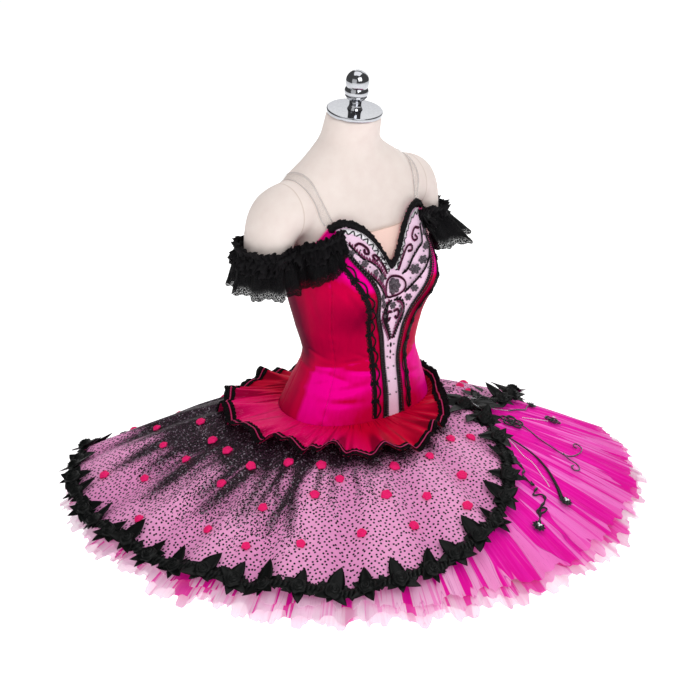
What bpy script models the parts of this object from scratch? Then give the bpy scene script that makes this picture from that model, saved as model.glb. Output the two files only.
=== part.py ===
"""Ballet tutu standing on a limbless dress form.

Metres, +Z up. The origin is the centre of the form's flat underside, the
wearer faces -Y and the wearer's right is -X. The form's skin is one set of
oval sections; every piece of the bodice is that skin moved out, and every
layer of the skirt is one drooping cone moved up, so the cloth nests.
"""
import math

import bmesh
import bpy
import numpy as np
from mathutils import Vector
from mathutils.bvhtree import BVHTree

NAME = "tutu_on_dress_form"


def columns(names, *rows):
    """A table as one array for each named column."""
    return dict(zip(names.split(), np.array(rows, float).T))


# ---- driving dimensions ---------------------------------------------------

SEAM_GAP = 0.0003           # between touching pieces
CLOTH = 0.0015              # wall of satin, lace and net
BODICE_CLEAR = 0.0025       # bodice lining to the form's skin
FORM_HIDDEN = 0.0030        # form inside its own skin where cloth covers it
BASQUE_CLEAR = -0.0025      # hip band, just off the form under the cloth
NET_CLEAR = 0.0002          # nets' inner edges, just off the hip band
OVERLAY_HIP_LIFT = 0.0026   # overlay over the cone at the hips
GARLAND_GAP = 0.0006        # garland over the overlay's highest point nearby
HIP_SEAM_Z = 0.3305         # bodice's lower edge, where the peplum is sewn
SKIRT_TOP_Z = 0.326         # where the skirt's cone starts
HIP_RADIUS = 0.140          # where the skirt leaves the hips
NET_RADIUS = 0.552          # skirt's lowest hem
HEM_Z = 0.176               # hem's height at the front and sides
BACK_DROOP = 0.124          # how much lower the hem hangs behind
DROOP_FACING = math.radians(58.0)
DROOP_HALF = math.radians(64.5)
DOME_POWER = 1.32           # 1 is a straight cone, more is a dome

NECK_TOP_Z = 0.8847
NECK_TILT = math.radians(8.0)
CAP_RADIUS = 0.0505
CAP_THICK = 0.007
ARM_PLANE = 0.1465          # shoulder cap joins the torso at this |x|

TULLE_TOP_PLEATS = 28
TULLE_LOW_PLEATS = 17
OVERLAY_FOLDS = 17
PEPLUM_WAVES = 15
SLEEVE_WAVES = 13

# Oval sections of the form, from the underside to the neck.
SECTIONS = columns(
    "height half_width front back centre square",
    (0.000, 0.150, 0.098, 0.112, 0.000, 2.20),
    (0.100, 0.162, 0.106, 0.124, 0.002, 2.20),
    (0.220, 0.165, 0.111, 0.128, 0.002, 2.20),
    (0.323, 0.149, 0.106, 0.117, -0.002, 2.25),
    (0.380, 0.129, 0.095, 0.103, -0.010, 2.25),
    (0.440, 0.1090, 0.0825, 0.0825, -0.0145, 2.25),
    (0.500, 0.1200, 0.088, 0.092, -0.012, 2.30),
    (0.560, 0.1305, 0.094, 0.102, -0.006, 2.35),
    (0.620, 0.1330, 0.093, 0.106, 0.000, 2.40),
    (0.680, 0.1350, 0.083, 0.106, 0.004, 2.40),
    (0.720, 0.1420, 0.073, 0.101, 0.006, 2.40),
    (0.750, 0.1440, 0.066, 0.090, 0.009, 2.30),
    (0.775, 0.1330, 0.060, 0.079, 0.011, 2.20),
    (0.797, 0.1060, 0.055, 0.068, 0.010, 2.10),
    (0.815, 0.0800, 0.054, 0.059, 0.013, 2.00),
    (0.835, 0.0580, 0.052, 0.053, 0.011, 2.00),
    (0.860, 0.0525, 0.050, 0.050, 0.005, 2.00),
    (0.885, 0.0500, 0.049, 0.049, -0.002, 2.00),
)
FORM_BUST_DEPTH = 0.038     # the bodice's cups stand off the form
FORM_AROUND = 40
FORM_HIP_Z = 0.30
BUST = {"side": 0.085, "height": 0.597, "depth": 0.054, "wide": 0.036,
        "below": 0.045, "above": 0.050}

# Upper arm, from inside the shoulder to its cut end: centre, lean from the
# horizontal in degrees, and half sizes across and front to back.
ARM_SECTIONS = columns(
    "x y z lean across deep",
    (0.100, 0.012, 0.734, 0.0, 0.050, 0.056),
    (0.1465, 0.019, 0.724, -22.0, 0.051, 0.056),
    (0.166, 0.025, 0.706, -50.0, 0.047, 0.054),
    (0.176, 0.028, 0.674, -78.0, 0.040, 0.051),
    (0.178, 0.0286, 0.640, -90.0, 0.036, 0.050),
    (0.178, 0.0286, 0.604, -90.0, 0.034, 0.047),
)

# Bodice edges, measured round from the centre front in degrees.
NECKLINE = columns(
    "degrees height",
    (0, 0.622), (4, 0.6345), (8, 0.654), (13, 0.677), (20, 0.698),
    (30, 0.711), (40, 0.710), (50, 0.699), (60, 0.684), (75, 0.664),
    (95, 0.650), (130, 0.640), (180, 0.628))
STOMACHER_EDGE = columns(
    "height degrees",
    (0.318, 6.0), (0.390, 6.5), (0.460, 8.5), (0.500, 10.5), (0.545, 17.0),
    (0.580, 22.5), (0.617, 29.0), (0.657, 38.0), (0.715, 41.0))
SIDE_SEAMS = (60.0, 112.0)
PANEL_ROWS = 13
WAIST_RADIUS = 0.10         # turns a distance round the bodice into an angle
INSERT_TOP_Z = 0.693

# Off-shoulder ruffle: where it lies on the bodice, front and back, and how
# far each place drops to the ruffle's lower edge and stands off the figure.
SLEEVE_FRONT = columns(
    "degrees height drop out",
    (31, 0.703, 0.020, 0.0091), (42, 0.702, 0.050, 0.0100), (55, 0.690, 0.062, 0.0105))
SLEEVE_BACK = columns(
    "degrees height drop out",
    (132, 0.648, 0.060, 0.0095), (146, 0.640, 0.030, 0.0051))
SLEEVE_ROUND_ARM = columns(
    "bearing height",
    (-112, 0.670), (-70, 0.664), (-30, 0.662), (10, 0.662),
    (50, 0.662), (90, 0.662), (122, 0.660))
ARM_MIDDLE = (0.178, 0.0286)
# The wearer's left ruffle stands further out than the right one.
SLEEVES = (("right", -1, 0.016, 0.074), ("left", 1, 0.052, 0.055))

# Peplum hem, by the bearing from +X in degrees.
PEPLUM_HEM = columns(
    "bearing reach height",
    (-180, 0.255, 0.331), (-149, 0.248, 0.331), (-132, 0.252, 0.331),
    (-113, 0.260, 0.331), (-97, 0.240, 0.333), (-71, 0.198, 0.338),
    (-41, 0.166, 0.342), (-5, 0.176, 0.346), (50, 0.188, 0.330),
    (90, 0.212, 0.316), (122, 0.246, 0.311), (150, 0.253, 0.321),
    (180, 0.255, 0.331))

# The overlay's opening: bearings in degrees of its edge nearer the centre
# front and of its far edge, by the distance from the axis.
OPENING = columns(
    "reach near far",
    (0.130, -45.3, -44.7), (0.222, -46.0, -44.0), (0.250, -54.5, -37.5),
    (0.300, -67.0, -28.0), (0.355, -80.0, -13.0), (0.400, -90.0, -2.0),
    (0.440, -100.5, 9.0), (0.470, -110.0, 19.0), (0.495, -119.5, 28.0),
    (0.512, -126.0, 34.0))
OVERLAY_HEM = columns(
    "bearing reach",
    (-180, 0.526), (-165, 0.520), (-150, 0.518), (-135, 0.516),
    (-126, 0.512), (34, 0.512), (60, 0.520), (100, 0.528),
    (150, 0.532), (180, 0.526))


# ---- small helpers --------------------------------------------------------

def smooth(at, keys, values):
    """Cubic through a table's rows, flat wherever two rows are equal."""
    steps = np.diff(values) / np.diff(keys)
    slopes = np.gradient(values, keys)
    for i in np.flatnonzero(steps == 0):
        slopes[i] = slopes[i + 1] = 0
    at = np.clip(np.asarray(at, float), keys[0], keys[-1])
    i = np.clip(np.searchsorted(keys, at) - 1, 0, len(keys) - 2)
    span = keys[i + 1] - keys[i]
    t = (at - keys[i]) / span
    return ((2 * t**3 - 3 * t**2 + 1) * values[i]
            + (t**3 - 2 * t**2 + t) * span * slopes[i]
            + (3 * t**2 - 2 * t**3) * values[i + 1]
            + (t**3 - t**2) * span * slopes[i + 1])


def section(height, column):
    """One column of the form's sections at a height."""
    return smooth(height, SECTIONS["height"], SECTIONS[column])


def skin(angle, height, bust_depth):
    """Points round the figure at an angle, -90 degrees in front."""
    angle, height = np.broadcast_arrays(np.asarray(angle, float), np.asarray(height, float))
    across, along = np.cos(angle), np.sin(angle)
    power = 2 / section(height, "square")
    depth = np.where(along < 0, section(height, "front"), section(height, "back"))
    x = section(height, "half_width") * np.sign(across) * np.abs(across)**power
    y = section(height, "centre") + depth * np.sign(along) * np.abs(along)**power
    rise = height - BUST["height"]
    spread = np.where(rise < 0, BUST["below"], BUST["above"])
    bust = np.exp(-((np.abs(x) - BUST["side"]) / BUST["wide"])**2 / 2 - (rise / spread)**2 / 2)
    y = y - bust_depth * bust * np.clip(-along, 0, 1)**0.7
    return np.stack([x, y, height], -1)


def body(angle, height, out=0.0, bust_depth=BUST["depth"], level=False):
    """The figure moved out along its own normal, or by as much but level."""
    step = 1e-4
    points = skin(angle, height, bust_depth)
    round_way = skin(angle + step, height, bust_depth) - skin(angle - step, height, bust_depth)
    up_way = skin(angle, height + step, bust_depth) - skin(angle, height - step, bust_depth)
    normal = np.cross(round_way, up_way)
    normal /= np.linalg.norm(normal, axis=-1, keepdims=True)
    if level:
        normal[..., 2] = 0
        flattest = 0.3
        normal /= np.maximum((normal**2).sum(-1, keepdims=True), flattest)
    return points + normal * np.asarray(out)[..., None]


def facing(side, degrees):
    """Skin angle at so many degrees from the centre front, on one side."""
    return -math.pi / 2 + side * np.radians(degrees)


def material(name, colour, roughness, metallic=0.0):
    """A Principled material."""
    made = bpy.data.materials.new(name)
    made.use_nodes = True
    shader = made.node_tree.nodes["Principled BSDF"]
    shader.inputs["Base Color"].default_value = (*colour, 1.0)
    shader.inputs["Roughness"].default_value = roughness
    shader.inputs["Metallic"].default_value = metallic
    made.diffuse_color = (*colour, 1.0)
    return made


def add_object(name, mesh, colours, collection):
    """Link a mesh to the model, outward faces and smooth shading."""
    made = bpy.data.objects.new(name, mesh)
    collection.objects.link(made)
    mesh.materials.append(colours)
    mesh.shade_smooth()
    mesh.set_sharp_from_angle(angle=math.radians(50))
    return made


def grid_faces(rows, columns, base, flip, ring):
    """Triangles over a grid, closed round the rows for a ring, cut the same way for either side of a wall."""
    faces = []
    for i in range(rows if ring else rows - 1):
        for j in range(columns - 1):
            k = (i + 1) % rows
            a, b = base + i * columns + j, base + k * columns + j
            pair = (a, b, b + 1), (a, b + 1, a + 1)
            faces += [three[::-1] if flip else three for three in pair]
    return faces


def wall(name, outer, inner, colours, collection, ring=False):
    """A closed wall between an outer and an inner grid of points."""
    rows, columns = outer.shape[:2]
    points = np.concatenate([outer.reshape(-1, 3), inner.reshape(-1, 3)])
    base = rows * columns
    faces = grid_faces(rows, columns, 0, False, ring)
    faces += grid_faces(rows, columns, base, True, ring)
    for i in range(rows if ring else rows - 1):
        k = (i + 1) % rows
        for j, flip in ((0, False), (columns - 1, True)):
            a, b = i * columns + j, k * columns + j
            quad = (b, a, base + a, base + b)
            faces.append(quad[::-1] if flip else quad)
    if not ring:
        for i, flip in ((0, False), (rows - 1, True)):
            for j in range(columns - 1):
                a = i * columns + j
                quad = (a, a + 1, base + a + 1, base + a)
                faces.append(quad[::-1] if flip else quad)
    mesh = bpy.data.meshes.new(name)
    mesh.from_pydata(points.tolist(), [], faces)
    turn_outward(mesh)
    return add_object(name, mesh, colours, collection)


def turn_outward(mesh):
    """Make every face of a closed mesh point out."""
    work = bmesh.new()
    work.from_mesh(mesh)
    bmesh.ops.recalc_face_normals(work, faces=work.faces)
    if work.calc_volume(signed=True) < 0:
        bmesh.ops.reverse_faces(work, faces=work.faces)
    work.to_mesh(mesh)
    work.free()


def loft(name, rings, colours, collection):
    """A solid through closed rings of points, with flat ends."""
    count, around = rings.shape[:2]
    faces = []
    for i in range(count - 1):
        for j in range(around):
            k = (j + 1) % around
            faces.append((i * around + j, i * around + k,
                          (i + 1) * around + k, (i + 1) * around + j))
    faces.append(tuple(range(around))[::-1])
    faces.append(tuple((count - 1) * around + j for j in range(around)))
    mesh = bpy.data.meshes.new(name)
    mesh.from_pydata(rings.reshape(-1, 3).tolist(), [], faces)
    turn_outward(mesh)
    return add_object(name, mesh, colours, collection)


def surface_tree(made):
    """Search tree over an object's evaluated mesh."""
    mesh = made.evaluated_get(bpy.context.evaluated_depsgraph_get()).data
    return BVHTree.FromPolygons([v.co[:] for v in mesh.vertices], [p.vertices[:] for p in mesh.polygons])


# ---- the dress form -------------------------------------------------------

def arm_rings(side, around=20):
    """Rings of the shoulder and upper arm, bending from sideways to down."""
    turn = np.linspace(0, 2 * math.pi, around, endpoint=False)
    given = np.arange(len(ARM_SECTIONS["x"]))
    steps = np.linspace(0, given[-1], 9)
    values = {name: smooth(steps, given, column) for name, column in ARM_SECTIONS.items()}
    rings = []
    for i in range(len(steps)):
        lean = math.radians(values["lean"][i])
        across = values["across"][i] * np.cos(turn)
        x = values["x"][i] - math.sin(lean) * across
        y = values["y"][i] + values["deep"][i] * np.sin(turn)
        z = values["z"][i] + math.cos(lean) * across
        rings.append(np.stack([side * x, y, z], -1))
    return np.array(rings)


def cut_at_plane(made, side, keep_inside):
    """Cut an arm at the shoulder plane and keep one part, closed."""
    where = ARM_PLANE - SEAM_GAP if keep_inside else ARM_PLANE
    work = bmesh.new()
    work.from_mesh(made.data)
    bmesh.ops.bisect_plane(work, geom=work.verts[:] + work.edges[:] + work.faces[:],
                           plane_co=(side * where, 0, 0), plane_no=(side, 0, 0),
                           clear_outer=keep_inside, clear_inner=not keep_inside)
    bmesh.ops.holes_fill(work, edges=[e for e in work.edges if e.is_boundary])
    bmesh.ops.recalc_face_normals(work, faces=work.faces)
    work.to_mesh(made.data)
    work.free()


def make_torso(colours, collection, cutters):
    """Torso with the roots of both shoulders joined on."""
    heights = np.concatenate([np.array([0.0, 0.12, 0.24]), np.linspace(FORM_HIP_Z, 0.50, 5),
                              np.linspace(0.535, 0.73, 8), np.linspace(0.752, 0.835, 6),
                              np.array([NECK_TOP_Z])])
    turn = np.linspace(0, 2 * math.pi, FORM_AROUND, endpoint=False)
    hidden = np.interp(heights, (0.690, 0.725), (-FORM_HIDDEN, 0.0))
    rings = body(turn[None, :], heights[:, None], hidden[:, None] + 0 * turn[None, :],
                 bust_depth=FORM_BUST_DEPTH, level=True)
    lean = np.interp(heights, (0.80, NECK_TOP_Z), (0, math.tan(NECK_TILT)))[:, None]
    rings[..., 2] += lean * (rings[..., 1] - section(heights, "centre")[:, None])
    torso = loft("form_torso", rings, colours, collection)
    for side, word in ((-1, "right"), (1, "left")):
        root = loft(f"shoulder_root_{word}", arm_rings(side), colours, cutters)
        cut_at_plane(root, side, keep_inside=True)
        root.hide_render = True
        root.display_type = "WIRE"
        join = torso.modifiers.new(f"join_{word}", "BOOLEAN")
        join.operation = "UNION"
        join.solver = "EXACT"
        join.object = root
    return torso


def make_shoulders(colours, collection):
    """The two shoulder caps with their short upper arms."""
    for side, word in ((-1, "right"), (1, "left")):
        arm = loft(f"form_shoulder_{word}", arm_rings(side), colours, collection)
        cut_at_plane(arm, side, keep_inside=False)


def neck_frame():
    """An empty at the middle of the neck's top, leaning with it."""
    frame = bpy.data.objects.new("neck_frame", None)
    frame.location = (0, section(NECK_TOP_Z, "centre"), NECK_TOP_Z)
    frame.rotation_euler = (NECK_TILT, 0, 0)
    return frame


def make_neck_cap(colours, collection, frame):
    """Polished disc on the neck."""
    bpy.ops.mesh.primitive_cylinder_add(vertices=28, radius=CAP_RADIUS, depth=CAP_THICK)
    cap = bpy.context.object
    cap.name = "neck_cap"
    cap.data.materials.append(colours)
    cap.parent = frame
    cap.location = (0, 0, SEAM_GAP + CAP_THICK / 2)
    for other in cap.users_collection:
        other.objects.unlink(cap)
    collection.objects.link(cap)
    edge = cap.modifiers.new("edge", "BEVEL")
    edge.width = 0.001
    edge.segments = 1
    cap.data.shade_smooth()
    cap.data.set_sharp_from_angle(angle=math.radians(40))


def finial_profile():
    """Radius and height of the finial from its ball's top to its foot."""
    ball_radius, ball_centre, groove = 0.0212, 0.0510, 0.0415
    low = math.asin((groove - ball_centre) / ball_radius)
    arc = np.linspace(math.pi / 2, low, 6)
    profile = [(ball_radius * math.cos(a), ball_centre + ball_radius * math.sin(a)) for a in arc]
    profile[0] = (0.0, ball_centre + ball_radius)
    profile += [(0.0200, 0.0390), (0.0218, 0.0340), (0.0210, 0.0285), (0.0190, 0.0270),
                (0.0200, 0.0250), (0.0184, 0.0225), (0.0150, 0.0190), (0.0114, 0.0175),
                (0.0112, 0.0060), (0.0138, 0.0)]
    return profile + [(0.0, 0.0)]


def make_finial(colours, collection, frame):
    """Ball, ringed bead and stem turned in one piece."""
    profile = finial_profile()
    mesh = bpy.data.meshes.new("neck_finial")
    mesh.from_pydata([(r, 0, z) for r, z in profile], [(i, i + 1) for i in range(len(profile) - 1)], [])
    finial = add_object("neck_finial", mesh, colours, collection)
    finial.parent = frame
    finial.location = (0, 0, CAP_THICK + 2 * SEAM_GAP)
    turn = finial.modifiers.new("turn", "SCREW")
    turn.steps = turn.render_steps = 16
    turn.use_merge_vertices = True
    turn.merge_threshold = 1e-5


# ---- the bodice -----------------------------------------------------------

def neckline(degrees):
    """Height of the bodice's upper edge."""
    return smooth(np.abs(degrees), NECKLINE["degrees"], NECKLINE["height"])


def panel_points(edge_a, edge_b, side, across, out):
    """Grid over the body between two seams, from the hip to the neckline."""
    share = np.linspace(0, 1, across)[:, None]
    rise = np.linspace(0, 1, PANEL_ROWS)[None, :]
    height = HIP_SEAM_Z + rise * 0.35 + 0 * share
    for _ in range(8):
        degrees = edge_a(height) * (1 - share) + edge_b(height) * share
        height = HIP_SEAM_Z + rise * (neckline(degrees) - HIP_SEAM_Z)
    return body(facing(side, degrees), height, np.full_like(height, out))


def straight_seam(degrees, shift):
    """A seam at a fixed angle, moved half a gap round."""
    return lambda height: degrees + shift + 0 * height


def stomacher_seam(shift, side=1):
    """The curved seam of the centre-front panel, moved half a gap out."""
    return lambda height: side * (smooth(height, STOMACHER_EDGE["height"], STOMACHER_EDGE["degrees"]) + shift)


def make_bodice(satin, brocade, collection):
    """Seven panels from the hip seam to the neckline."""
    half_gap = math.degrees(SEAM_GAP / 2 / WAIST_RADIUS)
    outs = (BODICE_CLEAR + CLOTH, BODICE_CLEAR)
    front = stomacher_seam(-half_gap, -1), stomacher_seam(-half_gap)
    grids = [panel_points(*front, 1, 13, out) for out in outs]
    wall("bodice_center_front", *grids, brocade, collection)
    for side, word in ((-1, "right"), (1, "left")):
        first, second = SIDE_SEAMS
        spans = (("side_front", stomacher_seam(half_gap), straight_seam(first, -half_gap), 5),
                 ("side", straight_seam(first, half_gap), straight_seam(second, -half_gap), 6),
                 ("back", straight_seam(second, half_gap), straight_seam(180, -half_gap), 7))
        for piece, edge_a, edge_b, across in spans:
            grids = [panel_points(edge_a, edge_b, side, across, out) for out in outs]
            wall(f"bodice_{piece}_{word}", *grids, satin, collection)


def make_insert(net, collection):
    """Skin-coloured net behind the V of the neckline, widening upward."""
    share = np.linspace(-1, 1, 7)[:, None]
    bottom, narrowest, tuck, metres_a_degree = 0.613, 2.5, 4.0, 0.0034
    net_thick = 0.0010
    height = np.linspace(bottom, INSERT_TOP_Z, 8)[None, :] + 0 * share
    half_width = np.maximum(narrowest, (height - neckline(0)) / metres_a_degree + tuck)
    out = np.interp(height, (bottom, INSERT_TOP_Z), (-0.0016, 0.0006))
    grids = [body(facing(1, share * half_width), height, out - thick) for thick in (0.0, net_thick)]
    wall("neckline_insert", *grids, net, collection)


def make_neckline_braid(braid, collection):
    """Ruched braid along the sweetheart edge, from one ruffle to the other."""
    degrees = np.linspace(-46, 46, 37)[:, None]
    below, above = 0.0060, 0.0030
    middle_out, edge_out, under_out = 0.0094, 0.0070, 0.0052
    slope = (neckline(degrees + 0.5) - neckline(degrees - 0.5)) / math.radians(1) / WAIST_RADIUS
    slope[len(slope) // 2] = 0
    lift = np.array([-below, (above - below) / 2, above])[None, :]
    lean = lift / np.sqrt(1 + slope**2)
    sideways = np.sign(degrees) * np.sign(lift) * np.abs(lean * slope)
    angle = facing(1, degrees - np.degrees(sideways / WAIST_RADIUS))
    height = neckline(degrees) + lean
    grids = [body(angle, height, np.array(outs)[None, :] + 0 * angle)
             for outs in ((edge_out, middle_out, edge_out), (under_out, under_out, under_out))]
    wall("neckline_braid", *grids, braid, collection)


def strap_ray(tree, origin, inward, lift):
    """Where a ray first meets the form, lifted off it."""
    hit, normal, _, _ = tree.ray_cast(Vector(origin), Vector(inward).normalized())
    return np.array(hit + normal * lift)


def make_straps(elastic, collection, torso):
    """Clear elastic straps laid over the form's shoulders."""
    tree = surface_tree(torso)
    pivot_y, pivot_z, away = 0.012, 0.700, 0.3
    half_width, outer_lift, inner_lift = 0.008, 0.0026, 0.0014
    end_x, top_shift = 0.100, 0.022
    swing = np.radians(np.linspace(8, 212, 31))
    for side, word in ((-1, "right"), (1, "left")):
        grids = []
        for lift in (outer_lift, inner_lift):
            rows = []
            for angle in swing:
                middle = end_x + top_shift * max(math.sin(angle), 0)
                inward = (0, math.cos(angle), -math.sin(angle))
                start_y, start_z = pivot_y - away * inward[1], pivot_z - away * inward[2]
                rows.append([strap_ray(tree, (side * (middle + edge), start_y, start_z), inward, lift)
                             for edge in (-half_width, half_width)])
            grids.append(np.array(rows))
        wall(f"strap_{word}", *grids, elastic, collection)


# ---- lace ruffles ---------------------------------------------------------

def through(points, count):
    """Catmull-Rom curve through rows of points."""
    padded = np.concatenate([2 * points[:1] - points[1:2], points, 2 * points[-1:] - points[-2:-1]])
    at = np.linspace(0, len(points) - 1, count)
    i = np.clip(at.astype(int), 0, len(points) - 2)
    t = (at - i)[:, None]
    a, b, c, d = (padded[i + k] for k in range(4))
    return 0.5 * (2 * b + (c - a) * t + (2 * a - 5 * b + 4 * c - d) * t**2 + (3 * b - a - 3 * c + d) * t**3)


def on_bodice(table, side, down):
    """A sleeve's places on the bodice at one level, standing off more below."""
    height = table["height"] - table["drop"] * down
    return body(facing(side, table["degrees"]), height, table["out"] + 0.004 * down)


def sleeve_row(side, down, flare, arm_drop):
    """One level of the off-shoulder ruffle, from bust round the arm to back."""
    bearing = np.radians(SLEEVE_ROUND_ARM["bearing"])
    round_arm = np.stack([side * (ARM_MIDDLE[0] + (0.046 + flare * down) * np.cos(bearing)),
                          ARM_MIDDLE[1] + (0.060 + flare * down) * np.sin(bearing),
                          SLEEVE_ROUND_ARM["height"] - arm_drop * down], -1)
    return np.concatenate([on_bodice(SLEEVE_FRONT, side, down), round_arm,
                           on_bodice(SLEEVE_BACK, side, down)])


def make_sleeves(lace, collection):
    """Gathered off-shoulder ruffles round both upper arms."""
    levels = (0.0, 0.5, 1.0)
    count = SLEEVE_WAVES * 4 + 1
    top_wave, more_below = 0.0012, 0.0085
    for word, side, flare, arm_drop in SLEEVES:
        middle = []
        for down in levels:
            row = through(sleeve_row(side, down, flare, arm_drop), count)
            along = np.gradient(row, axis=0)
            normal = np.stack([along[:, 1], -along[:, 0], 0 * along[:, 0]], -1)
            normal *= side / np.linalg.norm(normal, axis=1, keepdims=True)
            at = np.linspace(0, 1, count)
            flatter_on_bodice = np.clip(np.minimum(at - 0.12, 0.97 - at) / 0.12, 0.28, 1)
            wave = np.sin(2 * math.pi * (SLEEVE_WAVES * at + 0.35 * np.sin(5 * at)))
            size = (top_wave + more_below * down) * flatter_on_bodice
            middle.append((row + normal * (size * wave)[:, None], normal))
        outer = np.stack([row + normal * CLOTH / 2 for row, normal in middle], 1)
        inner = np.stack([row - normal * CLOTH / 2 for row, normal in middle], 1)
        wall(f"sleeve_ruffle_{word}", outer, inner, lace, collection)


# ---- the skirt ------------------------------------------------------------

def cone(bearing, reach):
    """Height of the skirt's middle surface: a dome that droops behind, as exp(-(bearing from there / half)**5)."""
    share = np.clip((reach - HIP_RADIUS) / (NET_RADIUS - HIP_RADIUS), 0, 1.2)
    away = np.abs((bearing - DROOP_FACING + math.pi) % (2 * math.pi) - math.pi) / DROOP_HALF
    return SKIRT_TOP_Z - (SKIRT_TOP_Z - HEM_Z) * share**DOME_POWER - BACK_DROOP * np.exp(-away**5) * share**1.06


def spread(reach):
    """0 at the hips, 1 at the hem."""
    return np.interp(reach, (HIP_RADIUS, NET_RADIUS), (0, 1))


def folds(bearing, count, wander):
    """Uneven waves round the skirt, each way from -1 to 1."""
    return np.sin(count * bearing + wander * np.sin(3 * bearing + 0.7) + 0.5 * wander * np.cos(5 * bearing))


def overlay_height(bearing, reach):
    """Underside of the spotted overlay, which floats on the net."""
    lift = np.interp(reach, (HIP_RADIUS, 0.34), (OVERLAY_HIP_LIFT, 0.0112))
    return cone(bearing, reach) + lift + 0.0060 * spread(reach) * folds(bearing, OVERLAY_FOLDS, 1.1)


def hip_ring(count, height, out):
    """Points round the hips with their bearings."""
    angle = np.linspace(-math.pi, math.pi, count, endpoint=False)
    ring = body(angle, np.full(count, height), np.full(count, out))
    return ring[:, :2], np.arctan2(ring[:, 1], ring[:, 0])


def skirt_layer(name, pleats, per_pleat, rows, reach, height, colours, collection):
    """A pleated net ring from the hips to its hem."""
    count = pleats * per_pleat
    start, bearing = hip_ring(count, SKIRT_TOP_Z, NET_CLEAR)
    hip_reach = np.hypot(*start.T)
    share = np.linspace(0, 1, rows)**1.15
    hem = reach * (1 + 0.008 * np.cos(pleats * bearing * 0.5 + 2 * np.sin(2 * bearing)))
    out = hip_reach[:, None] * (1 - share) + hem[:, None] * share
    top = height(bearing[:, None], out)
    x, y = out * np.cos(bearing)[:, None], out * np.sin(bearing)[:, None]
    outer = np.stack([x, y, top], -1)
    inner = outer - np.array([0, 0, CLOTH])
    wall(name, outer, inner, colours, collection, ring=True)


def upper_net(bearing, reach):
    """Top of the upper net, which meets the overlay at the hips."""
    meet = np.interp(reach, (HIP_RADIUS, 0.25), (OVERLAY_HIP_LIFT - SEAM_GAP, 0))
    return cone(bearing, reach) + meet + 0.0028 * spread(reach) * folds(bearing, TULLE_TOP_PLEATS, 1.0)


def lower_net(bearing, reach):
    """Top of the lower net."""
    drop = np.interp(reach, (HIP_RADIUS, 0.30), (0, 0.0100))
    return cone(bearing, reach) - drop + 0.0040 * spread(reach) * folds(bearing, TULLE_LOW_PLEATS, 1.6)


def make_nets(bright, pale, collection):
    """Two pleated net layers."""
    skirt_layer("net_upper", TULLE_TOP_PLEATS, 4, 4, 0.536, upper_net, bright, collection)
    skirt_layer("net_lower", TULLE_LOW_PLEATS, 5, 4, 0.549, lower_net, pale, collection)


def overlay_grid(across=84, out=7):
    """Plan positions of the overlay, from its far edge round to its near edge."""
    share = np.linspace(0, 1, across)[:, None]
    rise = np.linspace(0, 1, out)[None, :]
    start = 0.150
    bearing = np.radians(-44 + 358 * share + 0 * rise)
    for _ in range(12):
        limit = np.interp(wrapped(bearing), *OVERLAY_HEM.values())
        reach = start + (limit - start) * rise**0.9
        near, far = opening(reach)
        bearing = np.radians(far + (near + 360 - far) * share)
    return bearing, reach


def opening(reach):
    """Bearings in degrees of the opening's two edges at a reach."""
    return (np.interp(reach, OPENING["reach"], OPENING[edge]) for edge in ("near", "far"))


def wrapped(bearing):
    """A bearing in degrees between -180 and 180."""
    return (np.degrees(bearing) + 180) % 360 - 180


def make_overlay(spotted, collection):
    """The spotted skirt top, open at the wearer's left front."""
    bearing, reach = overlay_grid()
    hips = body(bearing[:, 0], np.full(len(bearing), SKIRT_TOP_Z), np.full(len(bearing), BODICE_CLEAR))
    reach[:, 0] = np.hypot(hips[:, 0], hips[:, 1])
    bearing[:, 0] = np.unwrap(np.arctan2(hips[:, 1], hips[:, 0]))
    under = overlay_height(bearing, reach)
    inner = np.stack([reach * np.cos(bearing), reach * np.sin(bearing), under], -1)
    return wall("skirt_overlay", inner + np.array([0, 0, CLOTH]), inner, spotted, collection)


def garland_path(period, per_period):
    """Plan points round the overlay's edge at an even spacing, with inward ways."""
    reach = np.linspace(0.225, OPENING["reach"][-1], 40)
    near, far = opening(reach)
    hem = np.linspace(far[-1], near[-1] + 359, 120)
    hem_reach = np.interp(wrapped(np.radians(hem)), *OVERLAY_HEM.values())
    bearing = np.radians(np.concatenate([far, hem, near[::-1]]))
    out = np.concatenate([reach, hem_reach, reach[::-1]])
    path = np.stack([out * np.cos(bearing), out * np.sin(bearing)], -1)
    length = np.concatenate([[0], np.cumsum(np.linalg.norm(np.diff(path, axis=0), axis=1))])
    count = int(length[-1] / period) * per_period + 1
    at = np.linspace(0, length[-1], count)
    even = np.stack([np.interp(at, length, path[:, i]) for i in (0, 1)], -1)
    for _ in range(3):
        even[1:-1] = (even[:-2] + 2 * even[1:-1] + even[2:]) / 4
    along = np.gradient(even, axis=0)
    along /= np.linalg.norm(along, axis=1, keepdims=True)
    return even, np.stack([-along[:, 1], along[:, 0]], -1)


def resting_height(tree, x, y):
    """Highest of the overlay close to a point, or its formula past its edge."""
    formula = float(overlay_height(math.atan2(y, x), math.hypot(x, y))) + CLOTH
    nearby, past_edge, from_above = 0.008, 0.0015, 1.0
    heights = [formula]
    for step_x, step_y in ((0, 0), (nearby, 0), (-nearby, 0), (0, nearby), (0, -nearby)):
        hit = tree.ray_cast(Vector((x + step_x, y + step_y, from_above)), Vector((0, 0, -1)))[0]
        heights.append(formula + past_edge if hit is None else hit.z)
    return max(heights)


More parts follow.
